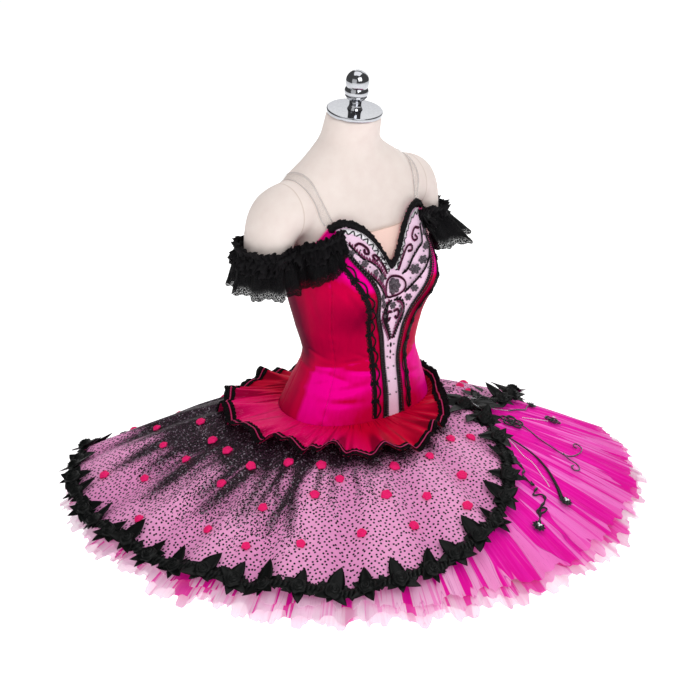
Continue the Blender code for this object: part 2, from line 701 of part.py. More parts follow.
def make_garland(ribbon, collection, overlay):
    """Ribbon roses and leaf points along the overlay's edge, in one strip."""
    period = 0.058
    leaf_tip, outer_edge, rose = (0.008, 0.027, 0.013), (-0.008, -0.009, -0.013), (0.0035, 0.0070, 0.0110)
    leaf_thick, edge_thick, crest = 0.0020, 0.0030, 0.001
    path, inward = garland_path(period, len(rose))
    place = np.arange(len(path)) % len(rose)
    across = np.stack([np.choose(place, leaf_tip), 0 * place + crest, np.choose(place, outer_edge)], -1)
    x = path[:, None, 0] + inward[:, None, 0] * across
    y = path[:, None, 1] + inward[:, None, 1] * across
    tree = surface_tree(overlay)
    under = np.vectorize(lambda px, py: resting_height(tree, px, py))(x, y) + GARLAND_GAP
    thick = np.stack([0 * place + leaf_thick, np.choose(place, rose), 0 * place + edge_thick], -1)
    inner = np.stack([x, y, under], -1)
    wall("hem_garland", np.stack([x, y, under + thick], -1), inner, ribbon, collection)


def make_peplum(satin, collection):
    """Short gathered frill at the hip seam."""
    count, rows = PEPLUM_WAVES * 5, 4
    start, bearing = hip_ring(count, HIP_SEAM_Z, BODICE_CLEAR + CLOTH + 2 * SEAM_GAP)
    degrees = np.degrees(bearing)
    hem_reach, hem_z = (smooth(degrees, PEPLUM_HEM["bearing"], PEPLUM_HEM[column])
                        for column in ("reach", "height"))
    hip_reach = np.hypot(*start.T)
    share = np.linspace(0, 1, rows)[None, :]
    reach = hip_reach[:, None] * (1 - share) + hem_reach[:, None] * share
    wave = np.sin(PEPLUM_WAVES * bearing + 0.9 * np.sin(2 * bearing))[:, None]
    length = (hem_reach - hip_reach)[:, None]
    size = np.minimum(0.0075, 0.075 * length) * share**1.3
    seam_z, raised = HIP_SEAM_Z + SEAM_GAP, 0.004
    height = seam_z + (hem_z[:, None] + raised - seam_z) * share + size * wave
    x, y = reach * np.cos(bearing)[:, None], reach * np.sin(bearing)[:, None]
    inner = np.stack([x, y, height], -1)
    wall("peplum", inner + np.array([0, 0, CLOTH]), inner, satin, collection, ring=True)


def make_basque(satin, collection):
    """Plain hip band that the nets are sewn to."""
    angle = np.linspace(-math.pi, math.pi, FORM_AROUND, endpoint=False)[:, None]
    height = np.array([0.262, FORM_HIP_Z, SKIRT_TOP_Z])[None, :] + 0 * angle
    grids = [body(angle + 0 * height, height, np.full_like(height, out))
             for out in (BASQUE_CLEAR + CLOTH, BASQUE_CLEAR)]
    wall("basque", *grids, satin, collection, ring=True)


# ---- the object -----------------------------------------------------------

def clear_scene():
    """Remove every object of the open scene."""
    for old in list(bpy.data.objects):
        bpy.data.objects.remove(old)


def main():
    """Build every piece."""
    clear_scene()
    parts = bpy.data.collections.new(NAME)
    cutters = bpy.data.collections.new("cutters")
    for collection in (parts, cutters):
        bpy.context.scene.collection.children.link(collection)
    form = material("form_jersey", (0.85, 0.78, 0.70), 0.6)
    chrome = material("chrome", (0.80, 0.81, 0.84), 0.12, 1.0)
    satin = material("satin", (0.68, 0.0, 0.12), 0.35)
    brocade = material("brocade", (0.83, 0.50, 0.70), 0.45)
    skin_net = material("skin_net", (0.86, 0.62, 0.48), 0.7)
    elastic = material("clear_elastic", (0.85, 0.85, 0.86), 0.3)
    lace = material("black_lace", (0.012, 0.012, 0.014), 0.8)
    spotted = material("spotted_organza", (0.86, 0.38, 0.60), 0.5)
    ribbon = material("black_ribbon", (0.010, 0.010, 0.012), 0.5)
    bright_net = material("magenta_net", (0.78, 0.02, 0.34), 0.7)
    pale_net = material("pale_net", (0.80, 0.45, 0.62), 0.7)

    torso = make_torso(form, parts, cutters)
    make_shoulders(form, parts)
    frame = neck_frame()
    parts.objects.link(frame)
    make_neck_cap(chrome, parts, frame)
    make_finial(chrome, parts, frame)
    bpy.context.view_layer.update()
    make_bodice(satin, brocade, parts)
    make_insert(skin_net, parts)
    make_neckline_braid(lace, parts)
    make_straps(elastic, parts, torso)
    make_sleeves(lace, parts)
    make_peplum(satin, parts)
    overlay = make_overlay(spotted, parts)
    make_garland(ribbon, parts, overlay)
    make_nets(bright_net, pale_net, parts)
    make_basque(satin, parts)


main()
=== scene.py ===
"""Ballet tutu on a limbless dress form, finished for the eye.

Every surface is a function of two parameters worked out with numpy: a way
round the figure and a height for the form and the bodice, a bearing and a
reach for the skirt. Sizes are metres. The wearer faces -Y and the wearer's
left is +X.
"""
import math

import bmesh
import bpy
import numpy as np
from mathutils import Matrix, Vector
from mathutils.bvhtree import BVHTree


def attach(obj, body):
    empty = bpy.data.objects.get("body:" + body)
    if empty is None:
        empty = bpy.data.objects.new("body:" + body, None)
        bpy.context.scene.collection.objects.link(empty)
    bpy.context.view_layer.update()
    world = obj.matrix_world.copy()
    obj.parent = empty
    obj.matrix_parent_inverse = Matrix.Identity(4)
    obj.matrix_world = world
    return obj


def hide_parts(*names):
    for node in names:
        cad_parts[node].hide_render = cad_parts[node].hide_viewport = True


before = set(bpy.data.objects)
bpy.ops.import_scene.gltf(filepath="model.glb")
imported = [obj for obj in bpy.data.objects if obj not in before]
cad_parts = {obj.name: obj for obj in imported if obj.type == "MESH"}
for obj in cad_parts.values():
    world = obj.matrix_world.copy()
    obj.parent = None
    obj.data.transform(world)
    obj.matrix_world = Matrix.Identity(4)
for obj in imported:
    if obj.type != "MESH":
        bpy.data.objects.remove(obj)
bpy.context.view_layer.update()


# ---- the dress form ---------------------------------------------------------
# A moulded torso without limbs under a tight cream jersey cover. The two
# shoulder caps are separate mouldings, so a fine seam runs round each one.

def table(names, *rows):
    """A table as one array for each named column."""
    return dict(zip(names.split(), np.array(rows, float).T))


SECTIONS = table(
    "height half_width front back centre square",
    (0.000, 0.150, 0.098, 0.112, 0.000, 2.20),
    (0.100, 0.162, 0.106, 0.124, 0.002, 2.20),
    (0.220, 0.165, 0.111, 0.128, 0.002, 2.20),
    (0.323, 0.149, 0.106, 0.117, -0.002, 2.25),
    (0.380, 0.129, 0.095, 0.103, -0.010, 2.25),
    (0.440, 0.1090, 0.0825, 0.0825, -0.0145, 2.25),
    (0.500, 0.1200, 0.088, 0.092, -0.012, 2.30),
    (0.560, 0.1305, 0.094, 0.102, -0.006, 2.35),
    (0.620, 0.1330, 0.093, 0.106, 0.000, 2.40),
    (0.680, 0.1350, 0.083, 0.106, 0.004, 2.40),
    (0.720, 0.1420, 0.073, 0.101, 0.006, 2.40),
    (0.750, 0.1440, 0.066, 0.090, 0.009, 2.30),
    (0.775, 0.1330, 0.060, 0.079, 0.011, 2.20),
    (0.797, 0.1060, 0.055, 0.068, 0.010, 2.10),
    (0.815, 0.0800, 0.054, 0.059, 0.013, 2.00),
    (0.835, 0.0580, 0.052, 0.053, 0.011, 2.00),
    (0.860, 0.0525, 0.050, 0.050, 0.005, 2.00),
    (0.885, 0.0500, 0.049, 0.049, -0.002, 2.00))
ARM_SECTIONS = table(
    "x y z lean across deep",
    (0.100, 0.012, 0.734, 0.0, 0.050, 0.056),
    (0.1465, 0.019, 0.724, -22.0, 0.051, 0.056),
    (0.166, 0.025, 0.706, -50.0, 0.047, 0.054),
    (0.176, 0.028, 0.674, -78.0, 0.040, 0.051),
    (0.178, 0.0286, 0.640, -90.0, 0.036, 0.050),
    (0.178, 0.0286, 0.604, -90.0, 0.034, 0.047))
BUST = {"side": 0.085, "height": 0.597, "depth": 0.054, "wide": 0.036, "below": 0.045, "above": 0.050}
FORM_BUST_DEPTH = 0.038
FORM_HIDDEN = 0.003
NECK_TOP_Z = 0.8847
NECK_TILT = math.radians(8)
ARM_PLANE = 0.1465


def smooth(at, keys, values):
    """Cubic through a table's rows, flat wherever two rows are equal."""
    steps = np.diff(values) / np.diff(keys)
    slopes = np.gradient(values, keys)
    for i in np.flatnonzero(steps == 0):
        slopes[i] = slopes[i + 1] = 0
    at = np.clip(np.asarray(at, float), keys[0], keys[-1])
    i = np.clip(np.searchsorted(keys, at) - 1, 0, len(keys) - 2)
    span = keys[i + 1] - keys[i]
    t = (at - keys[i]) / span
    return ((2 * t**3 - 3 * t**2 + 1) * values[i] + (t**3 - 2 * t**2 + t) * span * slopes[i]
            + (3 * t**2 - 2 * t**3) * values[i + 1] + (t**3 - t**2) * span * slopes[i + 1])


def section(height, column):
    """One column of the figure's oval sections at a height."""
    return smooth(height, SECTIONS["height"], SECTIONS[column])


def skin(angle, height, bust_depth):
    """Superellipse round the axis at each height, with two soft mounds in front."""
    angle, height = np.broadcast_arrays(np.asarray(angle, float), np.asarray(height, float))
    across, along = np.cos(angle), np.sin(angle)
    power = 2 / section(height, "square")
    depth = np.where(along < 0, section(height, "front"), section(height, "back"))
    x = section(height, "half_width") * np.sign(across) * np.abs(across)**power
    y = section(height, "centre") + depth * np.sign(along) * np.abs(along)**power
    rise = height - BUST["height"]
    spread_up = np.where(rise < 0, BUST["below"], BUST["above"])
    mound = np.exp(-((np.abs(x) - BUST["side"]) / BUST["wide"])**2 / 2 - (rise / spread_up)**2 / 2)
    y = y - bust_depth * mound * np.clip(-along, 0, 1)**0.7
    return np.stack([x, y, height], -1)


def unit(vectors):
    """Vectors of length 1."""
    return vectors / np.maximum(np.linalg.norm(vectors, axis=-1, keepdims=True), 1e-12)


def body(angle, height, out=0.0, bust_depth=BUST["depth"], level=False):
    """The figure's skin moved out along its normal, or by as much but level."""
    step = 1e-4
    points = skin(angle, height, bust_depth)
    round_way = skin(angle + step, height, bust_depth) - skin(angle - step, height, bust_depth)
    up_way = skin(angle, height + step, bust_depth) - skin(angle, height - step, bust_depth)
    normal = unit(np.cross(round_way, up_way))
    if level:
        normal[..., 2] = 0
        normal /= np.maximum((normal**2).sum(-1, keepdims=True), 0.3)
    return points + normal * np.asarray(out)[..., None]


def quads(rows, across, ring=False):
    """Corner numbers of the faces of a grid of points, closed round for a ring."""
    i = np.arange(rows if ring else rows - 1)[:, None]
    j = np.arange(across - 1)[None, :]
    a, b = i * across + j, (i + 1) % rows * across + j
    return np.stack([a, b, b + 1, a + 1], -1).reshape(-1, 4)


def joined(*shapes):
    """Several (points, faces) as one."""
    starts = np.cumsum([0] + [len(points) for points, _ in shapes[:-1]])
    return (np.concatenate([points for points, _ in shapes]),
            np.concatenate([faces + start for (_, faces), start in zip(shapes, starts)]))


def turned_out(mesh):
    """Close the seams and poles of shells, and make every face point out: a part is turned over
    if its volume, a sixth of the sum of its triangles' triple products, is negative."""
    work = bmesh.new()
    work.from_mesh(mesh)
    bmesh.ops.remove_doubles(work, verts=work.verts, dist=1e-6)
    bmesh.ops.recalc_face_normals(work, faces=work.faces)
    work.to_mesh(mesh)
    work.free()
    mesh.calc_loop_triangles()
    places = np.empty(3 * len(mesh.vertices), np.float32)
    corners = np.empty(3 * len(mesh.loop_triangles), np.int32)
    face_of = np.empty(len(mesh.loop_triangles), np.int32)
    mesh.vertices.foreach_get("co", places)
    mesh.loop_triangles.foreach_get("vertices", corners)
    mesh.loop_triangles.foreach_get("polygon_index", face_of)
    places, corners = places.reshape(-1, 3).astype(float), corners.reshape(-1, 3)
    # Each point takes its neighbours' lowest number, until every part has one number.
    before, part = None, np.arange(len(places))
    while not np.array_equal(before, part):
        before, lowest = part, part.copy()
        np.minimum.at(lowest, corners, part[corners].min(1)[:, None])
        part = lowest[lowest]
    part_of = part[corners[:, 0]]
    a, b, c = places[corners].transpose(1, 0, 2) - places[part_of]
    volume = np.bincount(part_of, np.einsum("ij,ij->i", a, np.cross(b, c)), len(places))
    for face in np.unique(face_of[volume[part_of] < 0]).tolist():
        mesh.polygons[face].flip()
    mesh.update()


def piece(name, shape, finish, fields=None, uv=None, sewn=False):
    """An object from points and faces, with its material and its named point values. What is sewn
    of several sheets has their seams closed and its faces turned out."""
    points, faces = shape
    mesh = bpy.data.meshes.new(name)
    mesh.vertices.add(len(points))
    mesh.vertices.foreach_set("co", np.ascontiguousarray(points, np.float32).ravel())
    mesh.loops.add(faces.size)
    mesh.loops.foreach_set("vertex_index", np.ascontiguousarray(faces, np.int32).ravel())
    mesh.polygons.add(len(faces))
    mesh.polygons.foreach_set("loop_start", np.arange(len(faces), dtype=np.int32) * faces.shape[1])
    mesh.update(calc_edges=True)
    for field, values in (fields or {}).items():
        made = mesh.attributes.new(field, "FLOAT", "POINT")
        made.data.foreach_set("value", np.ascontiguousarray(values, np.float32).ravel())
    if uv is not None:
        layer = mesh.uv_layers.new(name="cloth")
        layer.data.foreach_set("uv", np.ascontiguousarray(uv.reshape(-1, 2)[faces.ravel()],
                                                          np.float32).ravel())
    mesh.materials.append(finish)
    mesh.shade_smooth()
    if sewn:
        turned_out(mesh)
    made = bpy.data.objects.new(name, mesh)
    bpy.context.scene.collection.objects.link(made)
    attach(made, "root")
    return made


def linear(code):
    """sRGB hex to linear colour."""
    srgb = np.array([int(code[i:i + 2], 16) for i in (1, 3, 5)]) / 255
    return (*np.where(srgb <= 0.04045, srgb / 12.92, ((srgb + 0.055) / 1.055)**2.4), 1.0)


def plug(value, socket):
    """Give a socket a number, a hex colour, an output, or the first output in use of a node."""
    if isinstance(value, bpy.types.Node):
        value = next(output for output in value.outputs if output.enabled)
    if isinstance(value, bpy.types.NodeSocket):
        socket.id_data.links.new(value, socket)
    else:
        socket.default_value = linear(value) if isinstance(value, str) else value


def settle(made, **named):
    """Give a node its settings, and its sockets of the other names their values or links."""
    for name, value in named.items():
        if hasattr(made, name):
            setattr(made, name, value)
        else:
            plug(value, made.inputs[name.replace("_", " ")])


def node(tree, kind, *inputs, **named):
    """Add a shader node with its settings and links: inputs fill its sockets in use, in order."""
    made = tree.nodes.new("ShaderNode" + kind)
    settle(made, **named)
    for value, socket in zip(inputs, [socket for socket in made.inputs if socket.enabled]):
        plug(value, socket)
    return made


def finish_of(name, **sockets):
    """A Principled material, with its tree, its shader and its coordinates by name."""
    made = bpy.data.materials.new(name)
    made.use_nodes = True
    shader = made.node_tree.nodes["Principled BSDF"]
    settle(shader, **sockets)
    return made, made.node_tree, shader, node(made.node_tree, "TexCoord").outputs


# Cotton-lycra jersey: matt, cream, a hair-fine knit that only softens the
# highlight, and a shadow line where the shoulder caps join.
jersey, tree, shader, coords = finish_of("jersey_cream", Roughness=0.62, Sheen_Weight=0.15)
side_on = node(tree, "SeparateXYZ", coords["Object"])
from_plane = node(tree, "Math", node(tree, "Math", side_on, operation="ABSOLUTE"), ARM_PLANE,
                  operation="SUBTRACT")
seam_line = node(tree, "MapRange", node(tree, "Math", from_plane, operation="ABSOLUTE"), 0.0004, 0.0016,
                 1.0, 0.0)
mottle = node(tree, "TexNoise", coords["Object"], Scale=45.0, Detail=3.0)
cream = node(tree, "Mix", node(tree, "MapRange", mottle, 0.3, 0.7), "#E9DAD3", "#EEE1DA", data_type="RGBA")
in_seam = node(tree, "Math", seam_line, 0.42, operation="MULTIPLY")
knit = node(tree, "TexNoise", coords["Object"], Scale=4500.0, Detail=2.0)
sunk = node(tree, "Math", seam_line, 3.0, operation="MULTIPLY")
settle(shader, Base_Color=node(tree, "Mix", in_seam, cream, "#B79F8C", data_type="RGBA"),
       Normal=node(tree, "Bump", Strength=0.12, Distance=0.0004,
                   Height=node(tree, "Math", knit, sunk, operation="SUBTRACT")))


def tube_faces(rows, around, ring=False):
    """Faces of a grid of points whose last column joins its first, closed end to end for a ring."""
    faces = quads(rows, around + 1, ring)
    return faces // (around + 1) * around + faces % (around + 1) % around


def capped_loft(rings):
    """A closed solid through rings of points: rings, then a fan at each end."""
    count, around = rings.shape[:2]
    points = np.concatenate([rings.reshape(-1, 3), rings[0].mean(0)[None], rings[-1].mean(0)[None]])
    turn = np.arange(around)
    after = (turn + 1) % around
    first, last = count * around, count * around + 1
    low = np.stack([np.full(around, first), turn, after, np.full(around, first)], -1)
    high = np.stack([np.full(around, last), (count - 1) * around + after,
                     (count - 1) * around + turn, np.full(around, last)], -1)
    return points, tube_faces(count, around)[:, ::-1], low, high


def solid_mesh(name, parts):
    """One mesh of closed lofts, fans as triangles."""
    mesh = bpy.data.meshes.new(name)
    points, faces = [], []
    for loft_points, wall, low, high in parts:
        start = sum(len(p) for p in points)
        faces += [tuple(q) for q in (wall + start).tolist()]
        faces += [tuple(t[:3]) for t in (low + start).tolist()] + [tuple(t[:3])
                                                                   for t in (high + start).tolist()]
        points.append(loft_points)
    mesh.from_pydata(np.concatenate(points).tolist(), [], faces)
    return mesh


def torso_rings(rows=120, around=120):
    """The figure under the cloth: level offset, and a top that leans with the neck."""
    heights = np.linspace(0, NECK_TOP_Z, rows)
    turn = np.linspace(0, 2 * math.pi, around, endpoint=False)
    hidden = np.interp(heights, (0.690, 0.725), (-FORM_HIDDEN, 0.0))
    rings = body(turn[None, :], heights[:, None], hidden[:, None] + 0 * turn[None, :], FORM_BUST_DEPTH, True)
    lean = np.interp(heights, (0.80, NECK_TOP_Z), (0, math.tan(NECK_TILT)))[:, None]
    rings[..., 2] += lean * (rings[..., 1] - section(heights, "centre")[:, None])
    return rings


def arm_rings(side, rows=30, around=60):
    """The shoulder and upper arm: ovals whose plane turns from upright to level."""
    turn = np.linspace(0, 2 * math.pi, around, endpoint=False)[None, :]
    given = np.arange(len(ARM_SECTIONS["x"]), dtype=float)
    steps = np.linspace(0, given[-1], rows)
    values = {name: smooth(steps, given, column)[:, None] for name, column in ARM_SECTIONS.items()}
    lean = np.radians(values["lean"])
    across = values["across"] * np.cos(turn)
    return np.stack([side * (values["x"] - np.sin(lean) * across),
                     values["y"] + values["deep"] * np.sin(turn),
                     values["z"] + np.cos(lean) * across], -1)


form_mesh = solid_mesh("dress_form", [capped_loft(torso_rings()), capped_loft(arm_rings(-1)),
                                      capped_loft(arm_rings(1))])
turned_out(form_mesh)
form_tree = BVHTree.FromPolygons([v.co[:] for v in form_mesh.vertices],
                                 [p.vertices[:] for p in form_mesh.polygons])
form = bpy.data.objects.new("dress_form", form_mesh)
bpy.context.scene.collection.objects.link(form)
form_mesh.materials.append(jersey)
cover = form.modifiers.new("one_skin", "REMESH")
cover.mode = "VOXEL"
cover.voxel_size = 0.0042
cover.use_smooth_shade = True
ease = form.modifiers.new("ease", "SMOOTH")
ease.factor = 0.5
ease.iterations = 8
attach(form, "root")
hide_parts("form_torso", "form_shoulder_left", "form_shoulder_right")


# ---- the neck cap and finial ------------------------------------------------
# Spun and polished steel with a bright chrome plate: a lipped disc on the
# neck, and a ball, ringed bead and stem turned in one piece above it.

chrome, tree, shader, coords = finish_of("chrome_plate_polished", Metallic=1.0)
smudge = node(tree, "TexNoise", coords["Object"], Scale=300.0, Detail=4.0)
settle(shader, Base_Color=node(tree, "Mix", smudge, "#A9ABB1", "#C9CACE", data_type="RGBA"),
       Roughness=node(tree, "MapRange", smudge, 0.3, 0.7, 0.05, 0.12))


def lathe(profile, around=96):
    """Points of a profile of (radius, height) carried round the neck's axis, leaning with it."""
    turn = np.linspace(0, 2 * math.pi, around, endpoint=False)[:, None]
    radius, height = np.array(profile).T
    x, y = radius * np.cos(turn), radius * np.sin(turn)
    z = height + 0 * turn
    lean_y = y * math.cos(NECK_TILT) - z * math.sin(NECK_TILT) + section(NECK_TOP_Z, "centre")
    lean_z = y * math.sin(NECK_TILT) + z * math.cos(NECK_TILT) + NECK_TOP_Z
    return np.stack([x, lean_y, lean_z], -1).reshape(-1, 3), quads(around, len(profile), True)


def rounded(profile, per_step=5):
    """A profile with each step drawn as a smooth cubic through its points."""
    radius, height = np.array(profile).T
    at = np.linspace(0, len(radius) - 1, (len(radius) - 1) * per_step + 1)
    keys = np.arange(len(radius), dtype=float)
    return list(zip(np.maximum(smooth(at, keys, radius), 0), smooth(at, keys, height)))


CAP_PROFILE = [(0.0, 0.0003), (0.0492, 0.0003), (0.0500, 0.0006), (0.0504, 0.0014), (0.0505, 0.0050),
               (0.0503, 0.0064), (0.0496, 0.0072), (0.0484, 0.0074), (0.0470, 0.0071), (0.0, 0.0071)]
FINIAL_FOOT = 0.0076
BALL_RADIUS, BALL_CENTRE = 0.0212, 0.0510
ball = [(BALL_RADIUS * math.cos(a), BALL_CENTRE + BALL_RADIUS * math.sin(a))
        for a in np.linspace(math.pi / 2, -0.46, 24)]
STEM = rounded([(0.0190, 0.0415), (0.0200, 0.0395), (0.0217, 0.0345), (0.0210, 0.0285), (0.0190, 0.0270),
                (0.0200, 0.0250), (0.0184, 0.0225), (0.0150, 0.0190), (0.0114, 0.0175), (0.0110, 0.0120),
                (0.0112, 0.0060), (0.0138, 0.0002)])
profile = [(r, z + FINIAL_FOOT) for r, z in ball + STEM[1:] + [(0.0, 0.0002)]]
profile[0] = (0.0, profile[0][1])
for name, shape, cad in (("neck_cap_plate", lathe(CAP_PROFILE), "neck_cap"),
                         ("finial_turning", lathe(profile), "neck_finial")):
    turned = piece(name, shape, chrome, sewn=True)
    turned.data.set_sharp_from_angle(angle=math.radians(40))
    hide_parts(cad)


# ---- the bodice -------------------------------------------------------------
# Duchesse satin cut in seven panels and boned, so it stays taut: only a few
# soft pulls at the waist and hip, and a slight pucker along every seam.

SEAM_GAP = 0.0003
CLOTH = 0.0015
BODICE_CLEAR = 0.0025
SATIN_OUT = BODICE_CLEAR + CLOTH
HIP_SEAM_Z = 0.3305
NECKLINE = table(
    "degrees height",
    (0, 0.622), (4, 0.6345), (8, 0.654), (13, 0.677), (20, 0.698), (30, 0.711), (40, 0.710),
    (50, 0.699), (60, 0.684), (75, 0.664), (95, 0.650), (130, 0.640), (180, 0.628))
STOMACHER_EDGE = table(
    "height degrees",
    (0.318, 6.0), (0.390, 6.5), (0.460, 8.5), (0.500, 10.5), (0.545, 17.0),
    (0.580, 22.5), (0.617, 29.0), (0.657, 38.0), (0.715, 41.0))
SIDE_SEAMS = (60.0, 112.0)
GIRTH_RADIUS = 0.115        # the bodice's usual radius, which turns degrees into metres of cloth
# Pulls in the satin, as troughs: degrees from the centre front, height, the
# way it runs in degrees from level, half length and half width in mm, depth.
PULLS = table(
    "degrees height run long wide deep",
    (30, 0.432, 12, 34, 5, 0.0012), (42, 0.448, -8, 30, 4, 0.0010), (26, 0.455, 25, 20, 4, 0.0008),
    (52, 0.420, 18, 26, 5, 0.0010), (36, 0.395, -14, 40, 7, 0.0009), (47, 0.372, 6, 30, 6, 0.0011),
    (70, 0.440, -10, 34, 5, 0.0012), (84, 0.455, 14, 28, 5, 0.0009), (97, 0.428, 8, 36, 6, 0.0010),
    (76, 0.400, -20, 30, 6, 0.0008), (40, 0.560, 62, 44, 6, 0.0009), (50, 0.585, 70, 36, 6, 0.0008),
    (78, 0.560, 80, 40, 7, 0.0007), (125, 0.446, -6, 34, 5, 0.0011), (142, 0.432, 12, 38, 6, 0.0010),
    (160, 0.452, 6, 30, 5, 0.0009), (135, 0.400, -16, 34, 7, 0.0009), (152, 0.560, 76, 44, 6, 0.0007))


def facing(side, degrees):
    """Angle round the figure at so many degrees from the centre front."""
    return -math.pi / 2 + side * np.radians(degrees)


def neckline(degrees):
    """Height of the bodice's sweetheart edge."""
    return smooth(np.abs(degrees), NECKLINE["degrees"], NECKLINE["height"])


def stomacher_edge(height):
    """Degrees from the centre front of the stomacher's curved seam."""
    return smooth(height, STOMACHER_EDGE["height"], STOMACHER_EDGE["degrees"])


def pulls(side, degrees, height):
    """Depth of the pulls: a bell-shaped trough along each short line."""
    depth = 0.0 * degrees
    for i in range(len(PULLS["degrees"])):
        shift = 3.0 * math.sin(5.1 * i + side)
        across = np.radians(degrees - PULLS["degrees"][i] - shift) * GIRTH_RADIUS
        up = height - PULLS["height"][i] - 0.004 * math.sin(2.3 * i + 2 * side)
        run = math.radians(PULLS["run"][i] + 6 * math.sin(3.7 * i + side))
        along = across * math.cos(run) + up * math.sin(run)
        off = up * math.cos(run) - across * math.sin(run)
        depth -= PULLS["deep"][i] * np.exp(-(along / (PULLS["long"][i] / 1000))**2
                                           - (off / (PULLS["wide"][i] / 1000))**2)
    return depth


def panel(side, edge_a, edge_b, across, up, creases=True):
    """One panel of the bodice: outer and inner faces joined round the edge, with its flat UV."""
    share = np.linspace(0, 1, across)[:, None]
    rise = np.linspace(0, 1, up)[None, :]
    height = HIP_SEAM_Z + rise * 0.35 + 0 * share
    for _ in range(8):
        degrees = edge_a(height) * (1 - share) + edge_b(height) * share
        height = HIP_SEAM_Z + rise * (neckline(degrees) - HIP_SEAM_Z)
    near = np.minimum(share, 1 - share) * np.radians(edge_b(height) - edge_a(height)) * GIRTH_RADIUS
    tuck = -0.0007 * np.exp(-(near / 0.0022)**2) + 0 * height
    pucker = 0.00022 * np.sin(height / 0.0042 + 3 * np.sin(height * 40)) * np.exp(-(near / 0.007)**2)
    relief = tuck + (pucker + pulls(side, degrees, height) if creases else 0)
    outer = body(facing(side, degrees), height, SATIN_OUT + relief)
    inner = body(facing(side, degrees), height, BODICE_CLEAR + 0 * height)
    uv = np.stack([np.radians(degrees) * GIRTH_RADIUS, height], -1)
    return wall_of(outer, inner, uv)


def wall_of(outer, inner, uv, ring=False):
    """A closed wall: an outer grid, an inner grid, and strips round their rims."""
    rows, across = outer.shape[:2]
    grid = quads(rows, across, ring)
    base = rows * across
    i = np.arange(rows if ring else rows - 1)
    k = (i + 1) % rows
    rims = []
    for j, flip in ((0, False), (across - 1, True)):
        strip = np.stack([i * across + j, k * across + j, base + k * across + j, base + i * across + j], -1)
        rims.append(strip if flip else strip[:, ::-1])
    if not ring:
        j = np.arange(across - 1)
        for row, flip in ((0, True), (rows - 1, False)):
            strip = np.stack([row * across + j, row * across + j + 1,
                              base + row * across + j + 1, base + row * across + j], -1)
            rims.append(strip if flip else strip[:, ::-1])
    points = np.concatenate([outer.reshape(-1, 3), inner.reshape(-1, 3)])
    faces = np.concatenate([grid, grid[:, ::-1] + base, *rims])
    return (points, faces), np.concatenate([uv.reshape(-1, 2)] * 2)


def cloth_piece(name, wall_and_uv, finish, slot, **fields):
    """A wall as an object with outward faces; a field's values on its grid hold on both sides."""
    shape, uv = wall_and_uv
    both = {field: np.concatenate([values.ravel()] * 2) for field, values in fields.items()}
    made = piece(name, shape, finish, both, uv, True)
    made.data.set_sharp_from_angle(angle=math.radians(60))
    return made


def satin_finish(name, shade, mid, bright):
    """Polyester duchesse satin with painted light: a painted hot pink highlight where the cloth faces up or
    to the wearer's left, and painted crimson shade where it turns down or to the back, their border wavering
    along the warp."""
    made, tree, shader, coords = finish_of(name, Roughness=0.55, Specular_IOR_Level=0.06,
                                           Specular_Tint="#FF3C9C", Anisotropic=0.4)
    turned = node(tree, "SeparateXYZ", coords["Normal"]).outputs
    warp = node(tree, "TexNoise", node(tree, "Mapping", coords["UV"], Scale=(14.0, 5.0, 1.0)), Detail=3.0)
    stray = node(tree, "Math", node(tree, "Math", warp, 0.5, operation="SUBTRACT"), 0.16,
                 operation="MULTIPLY")
    # Painted light: lit grows where the cloth faces up or to the wearer's left and drops where it faces the
    # back; it picks the painted shade, the middle tone or the painted highlight.
    lit = node(tree, "Math", turned["Z"], stray, operation="ADD")
    for way, ends, change in (("X", (0.25, 1.0, 0.0, 0.30), "ADD"),
                              ("Y", (-0.70, -0.10, 0.0, 0.08), "SUBTRACT"),
                              ("Y", (-0.10, 0.12, 0.0, 0.50), "SUBTRACT")):
        lit = node(tree, "Math", lit, node(tree, "MapRange", turned[way], *ends), operation=change)
    low = node(tree, "Mix", node(tree, "MapRange", lit, -0.66, -0.02), shade, mid, data_type="RGBA")
    threads = node(tree, "TexWave", coords["UV"], wave_type="BANDS", bands_direction="Y", Scale=1300.0,
                   Distortion=1.2, Detail=2.0).outputs["Fac"]
    settle(shader, Normal=node(tree, "Bump", Strength=0.05, Distance=0.0003, Height=threads),
           Base_Color=node(tree, "Mix", node(tree, "MapRange", lit, 0.06, 0.26), low, bright,
                           data_type="RGBA"))
    return made


# The satin's painted shade, middle tone and painted highlight.
satin = satin_finish("satin_duchesse_crimson", "#6A002C", "#D00042", "#FF009A")
half_gap = math.degrees(SEAM_GAP / 2 / 0.10)


def seam(degrees):
    """A straight seam, as a function of height."""
    return lambda height: degrees + 0 * height


# Each panel's two seams, its grid across, and its flat size and area.
PANELS = (
    ("side_front", lambda height: stomacher_edge(height) + half_gap, seam(SIDE_SEAMS[0] - half_gap), 60,
     (0.120, 0.400), 0.0335),
    ("side", seam(SIDE_SEAMS[0] + half_gap), seam(SIDE_SEAMS[1] - half_gap), 60, (0.115, 0.360), 0.0360),
    ("back", seam(SIDE_SEAMS[1] + half_gap), seam(180 - half_gap), 70, (0.155, 0.340), 0.0452))
for side, word in ((-1, "right"), (1, "left")):
    for part, edge_a, edge_b, across, flat, area in PANELS:
        made = cloth_piece(f"satin_{part}_{word}", panel(side, edge_a, edge_b, across, 130), satin, "satin")
        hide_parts(f"bodice_{part}_{word}")


# ---- the stomacher ----------------------------------------------------------
# The centre-front panel in pale pink satin brocade with a faint woven figure.
# Its embroidery is a plain traditional one: vines with paired leaves run from a
# rosette to each wing and down to the waist, with scrolls, flowers and beads.

